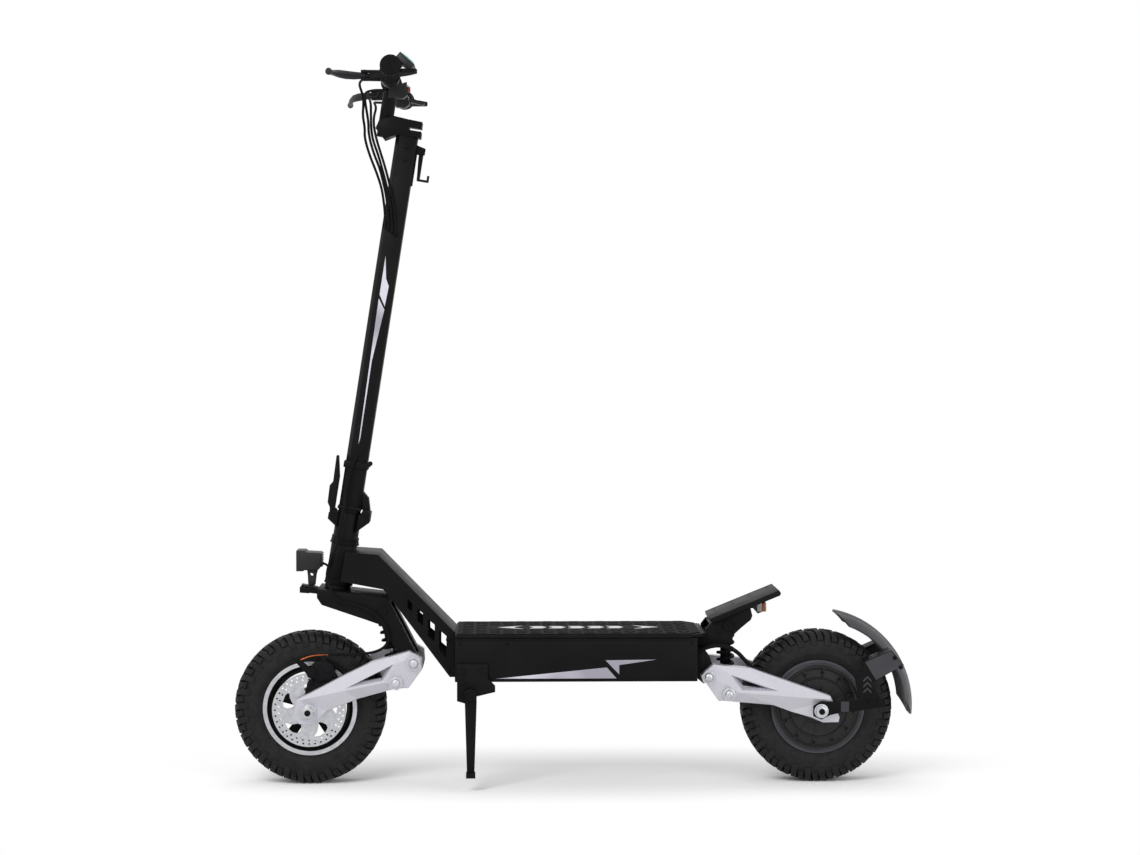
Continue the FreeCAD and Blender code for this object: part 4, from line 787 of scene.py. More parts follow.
class SCOOTER_OT_rounded_parts(bpy.types.Operator):
    """Round the edges of the welded, cast and moulded parts."""
    bl_idname = "scooter.rounded_parts"
    bl_label = "Rounded parts"

    def execute(self, context):
        for node, finish, body, width in SOFTENED:
            softened(node, finish, body, width * MM)
        return {"FINISHED"}


class SCOOTER_OT_front_brake(bpy.types.Operator):
    """Cut the swirled disc and build the cable caliper with its lever, bracket and bolts."""
    bl_idname = "scooter.front_brake"
    bl_label = "Front brake"

    def execute(self, context):
        bm = bmesh.new()
        circles = []
        for ring, count in ((59.5, 36), (53.5, 30)):
            for index in range(count):
                turn = math.tau * (index + (0.5 if count == 30 else 0)) / count
                centre = FRONT_AXLE + Vector((ring * math.cos(turn), 0, ring * math.sin(turn))) * MM
                circles.append(arc(centre, 1.7 * MM, 0, 324, 9))
        for index in range(5):
            swirl = [(47.5, -26), (49, -14), (48, 0), (45, 10), (39, 14), (31, 10), (27, 2), (32, -6), (40, -15)]
            circles.append([(FRONT_AXLE.x + reach * MM * math.cos(math.radians(72 * index + 18 + turn)),
                             FRONT_AXLE.z + reach * MM * math.sin(math.radians(72 * index + 18 + turn))) for reach,
                            turn in swirl])
        circles.append(arc(FRONT_AXLE, 14 * MM, 0, 352.5, 47))
        add_prism(bm, arc(FRONT_AXLE, 64.5 * MM, 0, 357.1875, 127), -56 * MM, -54 * MM, circles)
        finish_piece("front_disc_swirled", bm, "disc", "front_wheel", ("front_disc",))
        bm = bmesh.new()
        foot = near(FRONT_AXLE, (-10, 16), (-2, 50), (6, 58), (30, 62), (47, 66), (49, 60), (30, 44), (14, 16))
        add_prism(bm, foot, -60.9 * MM, -57.2 * MM, (), 0.6 * MM)
        cheek = near(FRONT_AXLE, (3, 62), (6, 80), (12, 86), (30, 88), (42, 80), (46, 70), (38, 54), (16, 50))
        bridge = near(FRONT_AXLE, (6, 70), (8, 82), (14, 86), (30, 87), (40, 79), (42, 74), (30, 72))
        add_prism(bm, cheek, -66.0 * MM, -57.4 * MM, (), 1.6 * MM)
        add_prism(bm, cheek, -52.6 * MM, -45.0 * MM, (), 1.6 * MM)
        add_prism(bm, bridge, -57.6 * MM, -52.4 * MM)
        for dx, dz, start, end, radius in ((6, 66, 57, 70, 9.4), (6, 66, 70, 71.6, 6.2), (34, 72, 64, 68, 6.4),
                                           (20, 80, 64, 67, 3.4),
                                           (4, 49, 60, 63.4, 4.8), (44, 63, 60, 64.4, 4.8), (-19, 89, 68, 74, 3.6)):
            place = FRONT_AXLE + Vector((dx, 0, dz)) * MM
            add_rod(bm, place - sideways(start), place - sideways(end), radius * MM, 0.8 * MM, 32)
        lever = near(FRONT_AXLE, (1, 61), (-22, 86), (-20.5, 92), (-15, 92), (12, 69), (10, 62))
        add_prism(bm, lever, -73.0 * MM, -70.4 * MM, (), 0.6 * MM)
        stop = near(FRONT_AXLE, (22, 84), (22, 98), (30, 98), (32, 84))
        add_prism(bm, stop, -66.4 * MM, -61.0 * MM, (), 0.8 * MM)
        finish_piece("front_caliper_detailed", bm, "black_steel", "front_arm", ("front_caliper",))
        wire = cable_piece("caliper_inner_cable",
                           [(-481, -71.8, 222), (-468, -70, 228), (-450, -67, 231.5), (-432, -64, 231)], 1.3 * MM,
                           "copper")
        to_mesh(wire, "front_arm")
        return {"FINISHED"}


def blade(bm, stations):
    """A lever blade lofted through stations: X, Y, Z, half its height and half its depth, in millimetres."""
    rings = []
    places = [Vector(station[:3]) * MM for station in stations]
    for index, (place, station) in enumerate(zip(places, stations)):
        ahead = (places[min(index + 1, len(places) - 1)] - places[max(index - 1, 0)]).normalized()
        up = Vector((0, 0, 1))
        side = ahead.cross(up).normalized()
        made = bmesh.ops.create_circle(bm, cap_ends=index in (0, len(stations) - 1), radius=1, segments=20)["verts"]
        turn = Matrix((side * station[4] * MM, up * station[3] * MM, ahead)).transposed().to_4x4()
        bmesh.ops.transform(bm, matrix=Matrix.Translation(place) @ turn, verts=made)
        rings.append({edge for vert in made for edge in vert.link_edges})
    for first, second in zip(rings, rings[1:]):
        bmesh.ops.bridge_loops(bm, edges=list(first) + list(second))


class SCOOTER_OT_levers(bpy.types.Operator):
    """Forge both brake levers with their ball ends."""
    bl_idname = "scooter.levers"
    bl_label = "Brake levers"

    def execute(self, context):
        stations = ((-352, 166, 1224, 4.2, 4.2), (-360, 169, 1224, 5.2, 5), (-376, 178, 1223.4, 6.6, 5.4),
                    (-390, 194, 1223, 7.2, 5),
                    (-400, 216, 1222.6, 6.6, 4.6), (-406, 242, 1221.2, 5, 4.2), (-409, 268, 1219.4, 4.3, 4),
                    (-410.4, 284, 1218.4, 4.4, 4),
                    (-411, 291, 1218, 5.6, 5.2), (-411.2, 297, 1218, 6, 5.6), (-411.2, 301, 1218, 4.6, 4.2),
                    (-411.2, 303, 1218, 2, 2))
        for side, word in ((-1, "left"), (1, "right")):
            bm = bmesh.new()
            blade(bm, [(x, side * y, z, high, deep) for x, y, z, high, deep in stations])
            finish_piece(f"brake_lever_{word}_forged", bm, "band", f"{word}_lever", (f"brake_lever_{word}",), 50)
        return {"FINISHED"}


class SCOOTER_OT_fender(bpy.types.Operator):
    """Mould the crowned fender with its tapered ends and raised spine."""
    bl_idname = "scooter.fender"
    bl_label = "Fender"

    def execute(self, context):
        bm = bmesh.new()
        half, crown, wall = 45.6, 171.3, 2.6
        section = []
        for step in range(25):
            across = -half + 2 * half * step / 24
            drop = 15.5 * abs(across / half) ** 2.4
            ridge = 1.6 if abs(across) < 13 else 0
            section.append((across, crown - 1.8 - drop + ridge))
        profile = section + [(across * 0.97, radius - wall) for across, radius in reversed(section)]
        start, sweep = -6.2, 86.0
        verts = [bm.verts.new((radius * MM, across * MM, 0)) for across, radius in profile]
        face = bm.faces.new(verts)
        bmesh.ops.rotate(bm, cent=(0, 0, 0), matrix=Matrix.Rotation(math.radians(-start), 3, "Y"), verts=verts)
        bmesh.ops.spin(bm, geom=[face] + verts + list(face.edges), cent=(0, 0, 0), axis=(0, -1, 0),
                       angle=math.radians(sweep), steps=72)
        middle = math.radians(start + sweep / 2)
        for vert in bm.verts:
            turn = math.atan2(vert.co.z, vert.co.x)
            reach = math.hypot(vert.co.x, vert.co.z)
            turn = middle + (turn - middle) * (1 - 0.26 * abs(vert.co.y / (half * MM)) ** 2.2)
            vert.co.x, vert.co.z = reach * math.cos(turn), reach * math.sin(turn)
        bmesh.ops.translate(bm, vec=REAR_AXLE, verts=bm.verts)
        finish_piece("fender_crowned", bm, "guard", "rear_arm", ("fender",), 40)
        return {"FINISHED"}


class SCOOTER_OT_tyres(bpy.types.Operator):
    """Mould both knobbly tyres."""
    bl_idname = "scooter.tyres"
    bl_label = "Tyres"

    def execute(self, context):
        sizes = context.scene.scooter_sizes
        tyre("front_tyre_tread", FRONT_AXLE, "front_wheel", sizes)
        tyre("rear_tyre_tread", REAR_AXLE, "rear_wheel", sizes)
        return {"FINISHED"}


class SCOOTER_OT_wheels(bpy.types.Operator):
    """Add the rim lips, disc screws, valve, and the motor cover's ribs and screws."""
    bl_idname = "scooter.wheels"
    bl_label = "Wheels"

    def execute(self, context):
        front_wheel_trim()
        rear_wheel_trim()
        return {"FINISHED"}


class SCOOTER_OT_shocks(bpy.types.Operator):
    """Build both coil-over shock absorbers."""
    bl_idname = "scooter.shocks"
    bl_label = "Shock absorbers"

    def execute(self, context):
        sizes = context.scene.scooter_sizes
        shock("front", FRONT_TOP, FRONT_EYE, "front_shock", "front_rod", sizes)
        shock("rear", REAR_TOP, REAR_EYE, "rear_shock", "rear_rod", sizes)
        return {"FINISHED"}


class SCOOTER_OT_fasteners(bpy.types.Operator):
    """Add the domed bolts and the axle nuts of both arms."""
    bl_idname = "scooter.fasteners"
    bl_label = "Arm bolts"

    def execute(self, context):
        for name, body, finish, bolts in (
                ("front_dome_bolts", "front_arm", "silver", (FRONT_PIVOT, FRONT_EYE)),
                ("rear_dome_bolts", "rear_arm", "disc", (REAR_PIVOT, REAR_EYE))):
            bm = bmesh.new()
            for bolt in bolts:
                for side in BOTH_SIDES:
                    face = bolt + sideways(side * 90.8)
                    add_rod(bm, bolt + sideways(side * 85.9), bolt + sideways(side * 87.4), 9.6 * MM, 0.4 * MM, 48)
                    dome(bm, face, side, 7.2, 3.4)
            finish_piece(name, bm, finish, body)
        for name, body, axle, face in (("front_axle_ends", "front_arm", FRONT_AXLE, 85.9),
                                       ("rear_axle_ends", "rear_arm", REAR_AXLE, 90.1)):
            bm = bmesh.new()
            for side in BOTH_SIDES:
                add_rod(bm, axle + sideways(side * face), axle + sideways(side * (face + 1.7)), 12.4 * MM, 0.5 * MM, 64)
                hexagon_nut(bm, axle + sideways(side * (face + 1.5)), side, 11.4, 8)
            finish_piece(name, bm, "disc", body)
            bm = bmesh.new()
            for side in BOTH_SIDES:
                add_rod(bm, axle + sideways(side * (face + 4)), axle + sideways(side * (face + 11.5)), 5.4 * MM,
                        0.8 * MM, 32)
            finish_piece(name.replace("ends", "studs"), bm, "black_steel", body)
        return {"FINISHED"}


class SCOOTER_OT_cables(bpy.types.Operator):
    """Route the bar's cables, the fold cable, the front brake cable and the motor cable."""
    bl_idname = "scooter.cables"
    bl_label = "Cables"

    def execute(self, context):
        radius = context.scene.scooter_sizes.cable
        routes = (
            [(-356, -152, 1224), (-366, -132, 1221), (-372, -100, 1219), (-373, -66, 1215), (-370, -38, 1206),
             (-369, -24, 1191), (-371.2, -19, 1171), (-367.2, -18, 1149), (-368, -18, 1132),
             (-359.3, -19, 1102), (-347.2, -21, 1072), (-337.8, -25, 1044), (-334, -27.2, 1018), (-332, -26.8, 998),
             (-332, -25.6, 978)],
            [(-316, -104, 1206), (-336, -102, 1207), (-350, -95, 1207), (-362, -76, 1206), (-366, -46, 1202),
             (-366, -22, 1190), (-361.3, -12, 1161), (-361.3, -13, 1139), (-353.3, -15, 1108),
             (-341.2, -19, 1078), (-336.2, -24, 1058), (-330, -27.4, 1032), (-327, -27.2, 1003), (-326, -25.6, 973)],
            [(-356, 152, 1224), (-366, 130, 1221), (-370, 96, 1219), (-366, 56, 1213), (-359, 24, 1198),
             (-358, 8, 1178), (-357.3, -4, 1151), (-354.3, -8, 1130), (-344.2, -14, 1102),
             (-337.2, -22, 1078), (-330, -27, 1052), (-323, -27.6, 1018), (-320, -26.6, 992), (-320, -25.6, 968)],
            [(-316, 134, 1206), (-335, 131, 1207), (-348, 118, 1206), (-356, 82, 1203), (-353, 36, 1197),
             (-348, -2, 1185), (-352, -18, 1168), (-351.3, -21, 1149), (-346.2, -21, 1126), (-339.2, -23, 1104),
             (-331, -26.8, 1078), (-323, -28.2, 1046), (-316, -27.8, 1010), (-314, -26.6, 986), (-314, -25.6, 963)],
        )
        for index, route in enumerate(routes):
            piece = to_mesh(cable_piece(f"bar_cable_{index + 1}", route, radius), "stem")
            if index == 0:
                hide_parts("control_cables")
        upper = to_mesh(cable_piece("fold_cable",
                                    [(-381, -25.4, 580), (-392, -33, 556), (-398, -36, 527), (-403, -37, 497),
                                                   (-409, -38, 455), (-417, -40, 420), (-430, -48, 390),
                                     (-435, -60, 362),
                                                   (-424, -67, 342)], 2.5 * MM))
        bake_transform(upper)
        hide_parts("brake_cable_upper")
        lower = to_mesh(cable_piece("front_brake_cable",
                                    [(-424, -67, 342), (-415.2, -72.6, 326), (-398, -72, 322), (-376, -69, 318),
                                                          (-350, -69, 303), (-332, -69, 285), (-324, -70, 264),
                                     (-330, -72, 246),
                                                          (-350, -73, 236), (-378, -72, 233), (-408, -67, 232),
                                     (-428, -64, 231)], 2.5 * MM))
        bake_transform(lower)
        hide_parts("brake_cable_lower")
        motor = to_mesh(cable_piece("motor_cable",
                [(208, -66, 234), (228, -67, 243), (253, -67, 247), (279, -64, 238), (300, -58, 215),
                                                    (318, -56, 195), (350, -55, 170), (395, -54, 148), (424, -53, 138)],
                                    3.6 * MM))
        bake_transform(motor)
        return {"FINISHED"}


class SCOOTER_OT_grips(bpy.types.Operator):
    """Add the moulded ribs, the end plugs and the lock rings of both grips."""
    bl_idname = "scooter.grips"
    bl_label = "Grip detail"

    def execute(self, context):
        sweep = math.radians(2.9)
        for name, finish in (("grip_ribs", "rubber"), ("grip_lock_rings", "black_steel")):
            bm = bmesh.new()
            for side in BOTH_SIDES:
                line = Vector((math.sin(sweep), side * math.cos(sweep), 0))
                start = Vector((-322.1, side * 62, 1227.7)) * MM
                if name == "grip_ribs":
                    for index in range(17):
                        along = 132 + 5.4 * index
                        add_turned(bm, [((along - 1.6), 15.4), ((along - 1.1), 16.7), ((along + 1.1), 16.7),
                                        ((along + 1.6), 15.4)], start, line, 48)
                    add_turned(bm, [(238, 0), (238, 17.4), (242.6, 17.4), (244.4, 15.8), (245.2, 12),
                                    (245.4, 1.4), (244.6, 1.0), (244.6, 0)], start, line, 64)
                else:
                    add_turned(bm, [(122.4, 15), (122.8, 18.4), (126.2, 18.4), (126.6, 15)], start, line, 64)
                    add_turned(bm, [(236.6, 15), (237.0, 17.6), (240.4, 17.6), (240.8, 15)], start, line, 64)
            finish_piece(name, bm, finish, "stem")
        return {"FINISHED"}


def decal(name, outlines, low_y, high_y, body, material="decal"):
    """Thin stickers with outlines in X and Z, on both sides of the scooter."""
    bm = bmesh.new()
    for corners in outlines:
        points = outline(corners)
        add_prism(bm, points, -high_y * MM, -low_y * MM)
        add_prism(bm, points, low_y * MM, high_y * MM)
    finish_piece(name, bm, material, body)


class SCOOTER_OT_stem_trim(bpy.types.Operator):
    """Add the stem's stickers, screws, cable grommets and collars."""
    bl_idname = "scooter.stem_trim"
    bl_label = "Stem trim"

    def execute(self, context):
        decal("stem_stickers", [
            [(-331.4, 926), (-342.1, 858.5), (-333.3, 837.3), (-326, 872.6), (-330.7, 886.6)],
            [(-343.5, 851.5), (-379.8, 596.8), (-376.6, 606), (-356, 742), (-333.9, 831.7)]], 22.9, 23.25, "stem")
        bm = bmesh.new()
        for x, z in ((-294.6, 1117.1), (-298.1, 1094.3), (-357.5, 640.0), (-361.5, 560.0)):
            for side in BOTH_SIDES:
                place = Vector((x * MM, side * 23 * MM, z * MM))
                add_rod(bm, place - sideways(side), place + sideways(side * 1.6), 4.2 * MM, 0.6 * MM, 32)
        finish_piece("stem_screws", bm, "black_steel", "stem")
        bm = bmesh.new()
        for index in range(4):
            place = Vector((-332 + 6 * index, -23.2, 978 - 5 * index)) * MM
            add_turned(bm, [(-1.2, 2.4), (1.6, 2.6), (1.6, 4.2), (-1.2, 4.8)], place, (0, -1, 0), 32)
        finish_piece("cable_grommets", bm, "rubber", "stem")
        bm = bmesh.new()
        for low, high, wide, deep in ((116, 128, 25.2, 21.6), (43, 49, 24.4, 20.8)):
            corners = [(deep, wide), (-deep, wide), (-deep, -wide), (deep, -wide)]
            lower = [bm.verts.new(on_axis(ahead, across, low)) for ahead, across in corners]
            edges = [bm.edges.new((lower[index], lower[(index + 1) % 4])) for index in range(4)]
            face = bmesh.ops.edgenet_fill(bm, edges=edges)["faces"][0]
            moved = bmesh.ops.extrude_face_region(bm, geom=[face])
            top = [item for item in moved["geom"] if isinstance(item, bmesh.types.BMVert)]
            bmesh.ops.translate(bm, vec=STEER_AXIS * (high - low) * MM, verts=top)
        bmesh.ops.recalc_face_normals(bm, faces=bm.faces)
        bevel(bm, sharp_edges(bm, 60), 1.6 * MM, 3)
        finish_piece("stem_collars", bm, "frame", "stem")
        return {"FINISHED"}


class SCOOTER_OT_deck_trim(bpy.types.Operator):
    """Lay the mat's facets and printed band, the side stickers, the seams and the screws."""
    bl_idname = "scooter.deck_trim"
    bl_label = "Deck trim"

    def execute(self, context):
        bm = bmesh.new()
        for row in range(-4, 5):
            for column in range(-8, 9):
                x, y = column * 23.5, row * 21
                if abs(y) < 34 and -150 < x < 160:
                    continue
                if x > 195 and abs(y) > 60:
                    continue
                flip = 1 if (row + column) % 2 else -1
                points = [(x - 10.5, y - flip * 9), (x + 10.5, y - flip * 9), (x + 10.5 * flip * 0.1, y + flip * 9)]
                verts = [bm.verts.new((px * MM, py * MM, MAT_TOP - 0.1 * MM)) for px, py in points]
                face = bm.faces.new(verts)
                moved = bmesh.ops.extrude_face_region(bm, geom=[face])
                raised = [item for item in moved["geom"] if isinstance(item, bmesh.types.BMVert)]
                bmesh.ops.translate(bm, vec=(0, 0, 1.3 * MM), verts=raised)
                middle = sum((vert.co for vert in raised), Vector()) / 3
                bmesh.ops.scale(bm, vec=(0.72, 0.72, 1), space=Matrix.Translation(-middle), verts=raised)
        finish_piece("mat_facets", bm, "rubber", "chassis", (), 20)
        bm = bmesh.new()
        shapes = [[(-135, 0), (-92, -25), (-106, -8), (-106, 8), (-92, 25)],
                  [(147, 0), (104, -25), (118, -8), (118, 8), (104, 25)]]
        for index in range(5):
            low = -80 + 34 * index
            shapes.append([(low, -16), (low + 22, -16), (low + 30, 0), (low + 22, 16), (low, 16), (low + 8, 0)])
        for shape in shapes:
            face = bm.faces.new([bm.verts.new((x * MM, y * MM, MAT_TOP - 0.1 * MM)) for x, y in shape])
            moved = bmesh.ops.extrude_face_region(bm, geom=[face])
            bmesh.ops.translate(bm, vec=(0, 0, 0.5 * MM),
                                verts=[item for item in moved["geom"] if isinstance(item, bmesh.types.BMVert)])
        finish_piece("mat_printed_band", bm, "ink", "chassis", (), 20)
        decal("deck_stickers", [[(-139.3, 193.8), (69.6, 193.8), (52.7, 212.8)],
                                [(50.5, 225.2), (74.2, 200.6), (74.2, 216.9), (138.8, 226.2)]], 104.9, 105.3, "chassis")
        bm = bmesh.new()
        for side in BOTH_SIDES:
            low, high = sorted((side * 104.6, side * 105.9))
            add_box(bm, (-205 * MM, low * MM, 259.4 * MM), (205 * MM, high * MM, 262.2 * MM), 0.5 * MM)
            add_box(bm, (-205 * MM, low * MM, 188.6 * MM), (205 * MM, high * MM, 190.6 * MM), 0.5 * MM)
            for x, z in ((202, 255), (202, 196), (-202, 255), (-120, 255)):
                place = Vector((x, side * 104.6, z)) * MM
                add_rod(bm, place, place + sideways(side * 1.9), 2.9 * MM, 0.5 * MM, 24)
        finish_piece("deck_seams_and_screws", bm, "black_steel", "chassis")
        bm = bmesh.new()
        for x, y in ((-200, 96), (-60, 98), (90, 98), (200, 92)):
            for side in BOTH_SIDES:
                place = Vector((x, side * y, 268.6)) * MM
                add_rod(bm, place, place + Vector((0, 0, 2.2 * MM)), 3.4 * MM, 0.6 * MM, 24)
        finish_piece("lid_screws", bm, "black_steel", "chassis")
        return {"FINISHED"}


class SCOOTER_OT_neck_trim(bpy.types.Operator):
    """Add the headset's rings, the outer side plates with their windows, and the neck's bolts."""
    bl_idname = "scooter.neck_trim"
    bl_label = "Neck trim"

    def execute(self, context):
        bm = bmesh.new()
        for along, radius in ((-17.2, 25.6), (-89, 25.2)):
            place = on_axis(0, 0, along)
            add_turned(bm, [(-2.2, (radius - 3)), (-1.4, radius), (1.4, radius), (2.2, (radius - 3))],
                       place, STEER_AXIS, 96)
        finish_piece("headset_rings", bm, "black_steel", "chassis")
        bm = bmesh.new()
        side_plate = [(-398.5, 409.2), (-343.6, 405.4), (-211, 269.6), (-211, 193.2), (-219, 193.2), (-326.4, 336),
                      (-334.8, 345.6),
                      (-407.5, 359.4)]
        windows = []
        for low, high, top, bottom in ((-292.4, -284.6, 328.6, 307), (-275.4, -265.9, 312.2, 283),
                                       (-257, -245.6, 293.8, 254.4),
                                       (-237.3, -225.1, 274.9, 227)):
            drop = (high - low) * 0.85
            windows.append(outline([(low, top), (high, top - drop), (high, bottom), (low, bottom + drop)]))
        for low_y, high_y in ((-71.9, -70.9), (70.9, 71.9)):
            add_prism(bm, outline(side_plate), low_y * MM, high_y * MM, windows, 0.3 * MM, 1)
        finish_piece("neck_side_plates", bm, "frame", "chassis")
        side_screws("neck_bolts", "chassis", ((-222, 258), (-222, 204)), 71.6, 2.2, 4.2, 0.7)
        return {"FINISHED"}


class SCOOTER_OT_headlight(bpy.types.Operator):
    """Build the headlight's shell, reflectors, fins, mount and cable."""
    bl_idname = "scooter.headlight"
    bl_label = "Headlight"

    def execute(self, context):
        low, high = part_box("headlight_lens")
        middle = (low + high) / 2
        bm = bmesh.new()
        for side in BOTH_SIDES:
            place = middle + Vector((2.4 * MM, side * 10.6 * MM, 0))
            add_turned(bm, [(0, 9.4), (2.6, 9.8), (2.6, 9), (-1.0, 3), (-1.4, 0), (-2.0, 0), (-1.8, 4)],
                       place, (-1, 0, 0), 48)
        finish_piece("headlight_reflectors", bm, "disc", "steering")
        bm = bmesh.new()
        shell = [(-483.5, 404.8), (-481.6, 409.8), (-474.6, 409.8), (-471, 406.6), (-447, 405.4), (-445.4, 403),
                 (-445.4, 383), (-449.8, 376.4),
                 (-475.1, 375), (-477, 373.4), (-483.5, 373.4)]
        add_prism(bm, outline(shell), -25.4 * MM, 25.4 * MM, (), 1.4 * MM)
        for low_z, high_z in ((373.4, 376.6), (405.6, 409.8)):
            add_box(bm, Vector((-489.2, -25.2, low_z)) * MM, Vector((-482, 25.2, high_z)) * MM, 0.7 * MM)
        for side in BOTH_SIDES:
            low_y, high_y = sorted((side * 22.4, side * 25.4))
            add_box(bm, Vector((-489.2, low_y, 373.6)) * MM, Vector((-482, high_y, 409.6)) * MM, 0.7 * MM)
            cheek = [(-471.5, 378), (-451.8, 378), (-455.7, 365.6), (-457.8, 347), (-469.1, 347), (-470, 365.6)]
            low_y, high_y = sorted((side * 9, side * 12))
            hole = arc(Vector((-463.6, 0, 366)), 3.3, 0, 345, 23)
            add_prism(bm, outline(cheek), low_y * MM, high_y * MM, [outline(hole)], 0.4 * MM)
        base = [(-481, 349.2), (-454, 344.4), (-454, 341.6), (-481, 346.2)]
        add_prism(bm, outline(base), -14 * MM, 14 * MM, (), 0.6 * MM)
        for index in range(6):
            z = (381 + 4.2 * index) * MM
            add_box(bm, (-447 * MM, -22 * MM, z), (-443.8 * MM, 22 * MM, z + 1.6 * MM), 0.4 * MM)
        finish_piece("headlight_shell", bm, "plastic", "steering", ("headlight_housing",))
        piece = to_mesh(cable_piece("headlight_cable",
                [(-446, 0, 386), (-438, 2, 384), (-434, 9, 376), (-437, 16, 362), (-440, 20, 348), (-436, 24, 338)],
                                    2 * MM))
        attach(piece, "steering")
        return {"FINISHED"}


class SCOOTER_OT_display(bpy.types.Operator):
    """Add the display's frame, cover and segments, and the buttons of the switch pod."""
    bl_idname = "scooter.display"
    bl_label = "Display and buttons"

    def execute(self, context):
        low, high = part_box("display_glass")
        middle = (low + high) / 2
        tilt = Matrix.Rotation(math.radians(42), 4, "Y")
        bm = bmesh.new()
        for corner_low, corner_high in (((-14, -30.5, -0.6), (-12.6, 30.5, 0.8)),
                                        ((12.6, -30.5, -0.6), (14, 30.5, 0.8)),
                                        ((-14, -30.5, -0.6), (14, -29, 0.8)), ((-14, 29, -0.6), (14, 30.5, 0.8))):
            add_box(bm, Vector(corner_low) * MM, Vector(corner_high) * MM, 0.4 * MM)
        bmesh.ops.transform(bm, matrix=Matrix.Translation(middle) @ tilt, verts=bm.verts)
        finish_piece("display_bezel", bm, "plastic", "stem")
        bm = bmesh.new()
        add_box(bm, Vector((-12.6, -30.6, 0.2)) * MM, Vector((12.6, 30.6, 3.2)) * MM, 0.8 * MM)
        bmesh.ops.transform(bm, matrix=Matrix.Translation(middle) @ tilt, verts=bm.verts)
        finish_piece("display_cover", bm, "glass", "stem", ("display_glass",))
        bm = bmesh.new()
        for index in range(3):
            x = -5.2 + 5.2 * index
            for y in (-6.2, 3.2):
                add_box(bm, Vector((x - 0.5, y, 3.0)) * MM, Vector((x + 0.5, y + 4.6, 3.4)) * MM, 0.15 * MM)
        for x in (-4.9, 0.4):
            for y in (-7.4, -1.2, 1.9, 8.1):
                add_box(bm, Vector((x, y, 3.0)) * MM, Vector((x + 4.4, y + 1.0, 3.4)) * MM, 0.15 * MM)
        for index in range(5):
            add_box(bm, Vector((6.2 - 2.6 * index, 15, 3.0)) * MM, Vector((8.0 - 2.6 * index, 19 + index, 3.4)) * MM,
                    0.15 * MM)
        bmesh.ops.transform(bm, matrix=Matrix.Translation(middle) @ tilt, verts=bm.verts)
        finish_piece("display_segments", bm, "plastic", "stem")
        bm = bmesh.new()
        for y, z in ((-113, 1211), (-90, 1208), (-113, 1203)):
            place = Vector((-289.2, y, z)) * MM
            add_rod(bm, place, place + Vector((1.8, 0, 0)) * MM, 3.1 * MM, 0.7 * MM, 32)
        finish_piece("switch_buttons", bm, "grey_ring", "stem")
        return {"FINISHED"}


class SCOOTER_OT_footrest(bpy.types.Operator):
    """Add the footrest's rails, screws and bolts, and the tail lamp's lens and cover."""
    bl_idname = "scooter.footrest"
    bl_label = "Footrest and tail lamp"

    def execute(self, context):
        tilt = Matrix.Rotation(math.radians(-22.2), 4, "Y")
        start = Vector((237.1, 0, 283.4 + 9)) * MM
        bm = bmesh.new()
        for y in (-60, 60):
            add_box(bm, Vector((6, y - 2, -1)) * MM, Vector((128, y + 2, 1.0)) * MM, 0.5 * MM)
        for x in (14, 48, 82, 116):
            for y in (-44, -16, 16, 44):
                add_rod(bm, Vector((x, y, -0.4)) * MM, Vector((x, y, 0.9)) * MM, 3.0 * MM, 0.3 * MM, 20)
        bmesh.ops.transform(bm, matrix=Matrix.Translation(start) @ tilt, verts=bm.verts)
        finish_piece("footrest_rails_and_screws", bm, "black_steel", "chassis")
        side_screws("footrest_bolts", "chassis", ((262, 281), (252, 268.5)), 53.8, 2.6, 4.6, 0.8)
        for name, finish, low_x, high_x in (("tail_lamp_lens", "lamp", 321, 329.5),
                                            ("tail_lamp_bulb_cover", "amber", 329.5, 337.4)):
            bm = bmesh.new()
            add_box(bm, Vector((low_x, -22.8, 300)) * MM, Vector((high_x, 22.8, 316)) * MM, 1.2 * MM)
            finish_piece(name, bm, finish, "chassis")
        return {"FINISHED"}


class SCOOTER_OT_fender_trim(bpy.types.Operator):
    """Add the screws of the fender brackets and their plates and chevrons."""
    bl_idname = "scooter.fender_trim"
    bl_label = "Fender trim"

    def execute(self, context):
        side_screws("fender_screws", "rear_arm", ((554.6, 226.3), (565.2, 209.5), (511.9, 148), (527.8, 148)), 89.8,
                    2.4, 3.8, 0.7)
        bm = bmesh.new()
        shapes = [near(REAR_AXLE, (76, 85), (121.5, 104.6), (142.6, 79.8), (95, 54)),
                  near(REAR_AXLE, (34, -1.5), (48, -1.5), (48, 16.5), (34, 16.5))]
        for index in range(3):
            z = (164 + 10 * index) * MM
            x = 500 * MM
            shapes.append([(x, z), (x + 7 * MM, z + 7 * MM), (x + 14 * MM, z), (x + 14 * MM, z + 3.4 * MM),
                           (x + 7 * MM, z + 10.4 * MM),
                           (x, z + 3.4 * MM)])
        for corners in shapes:
            add_prism(bm, corners, -90.8 * MM, -90.1 * MM)
            add_prism(bm, corners, 90.1 * MM, 90.8 * MM)
        finish_piece("bracket_chevrons", bm, "tab", "rear_arm")
        return {"FINISHED"}


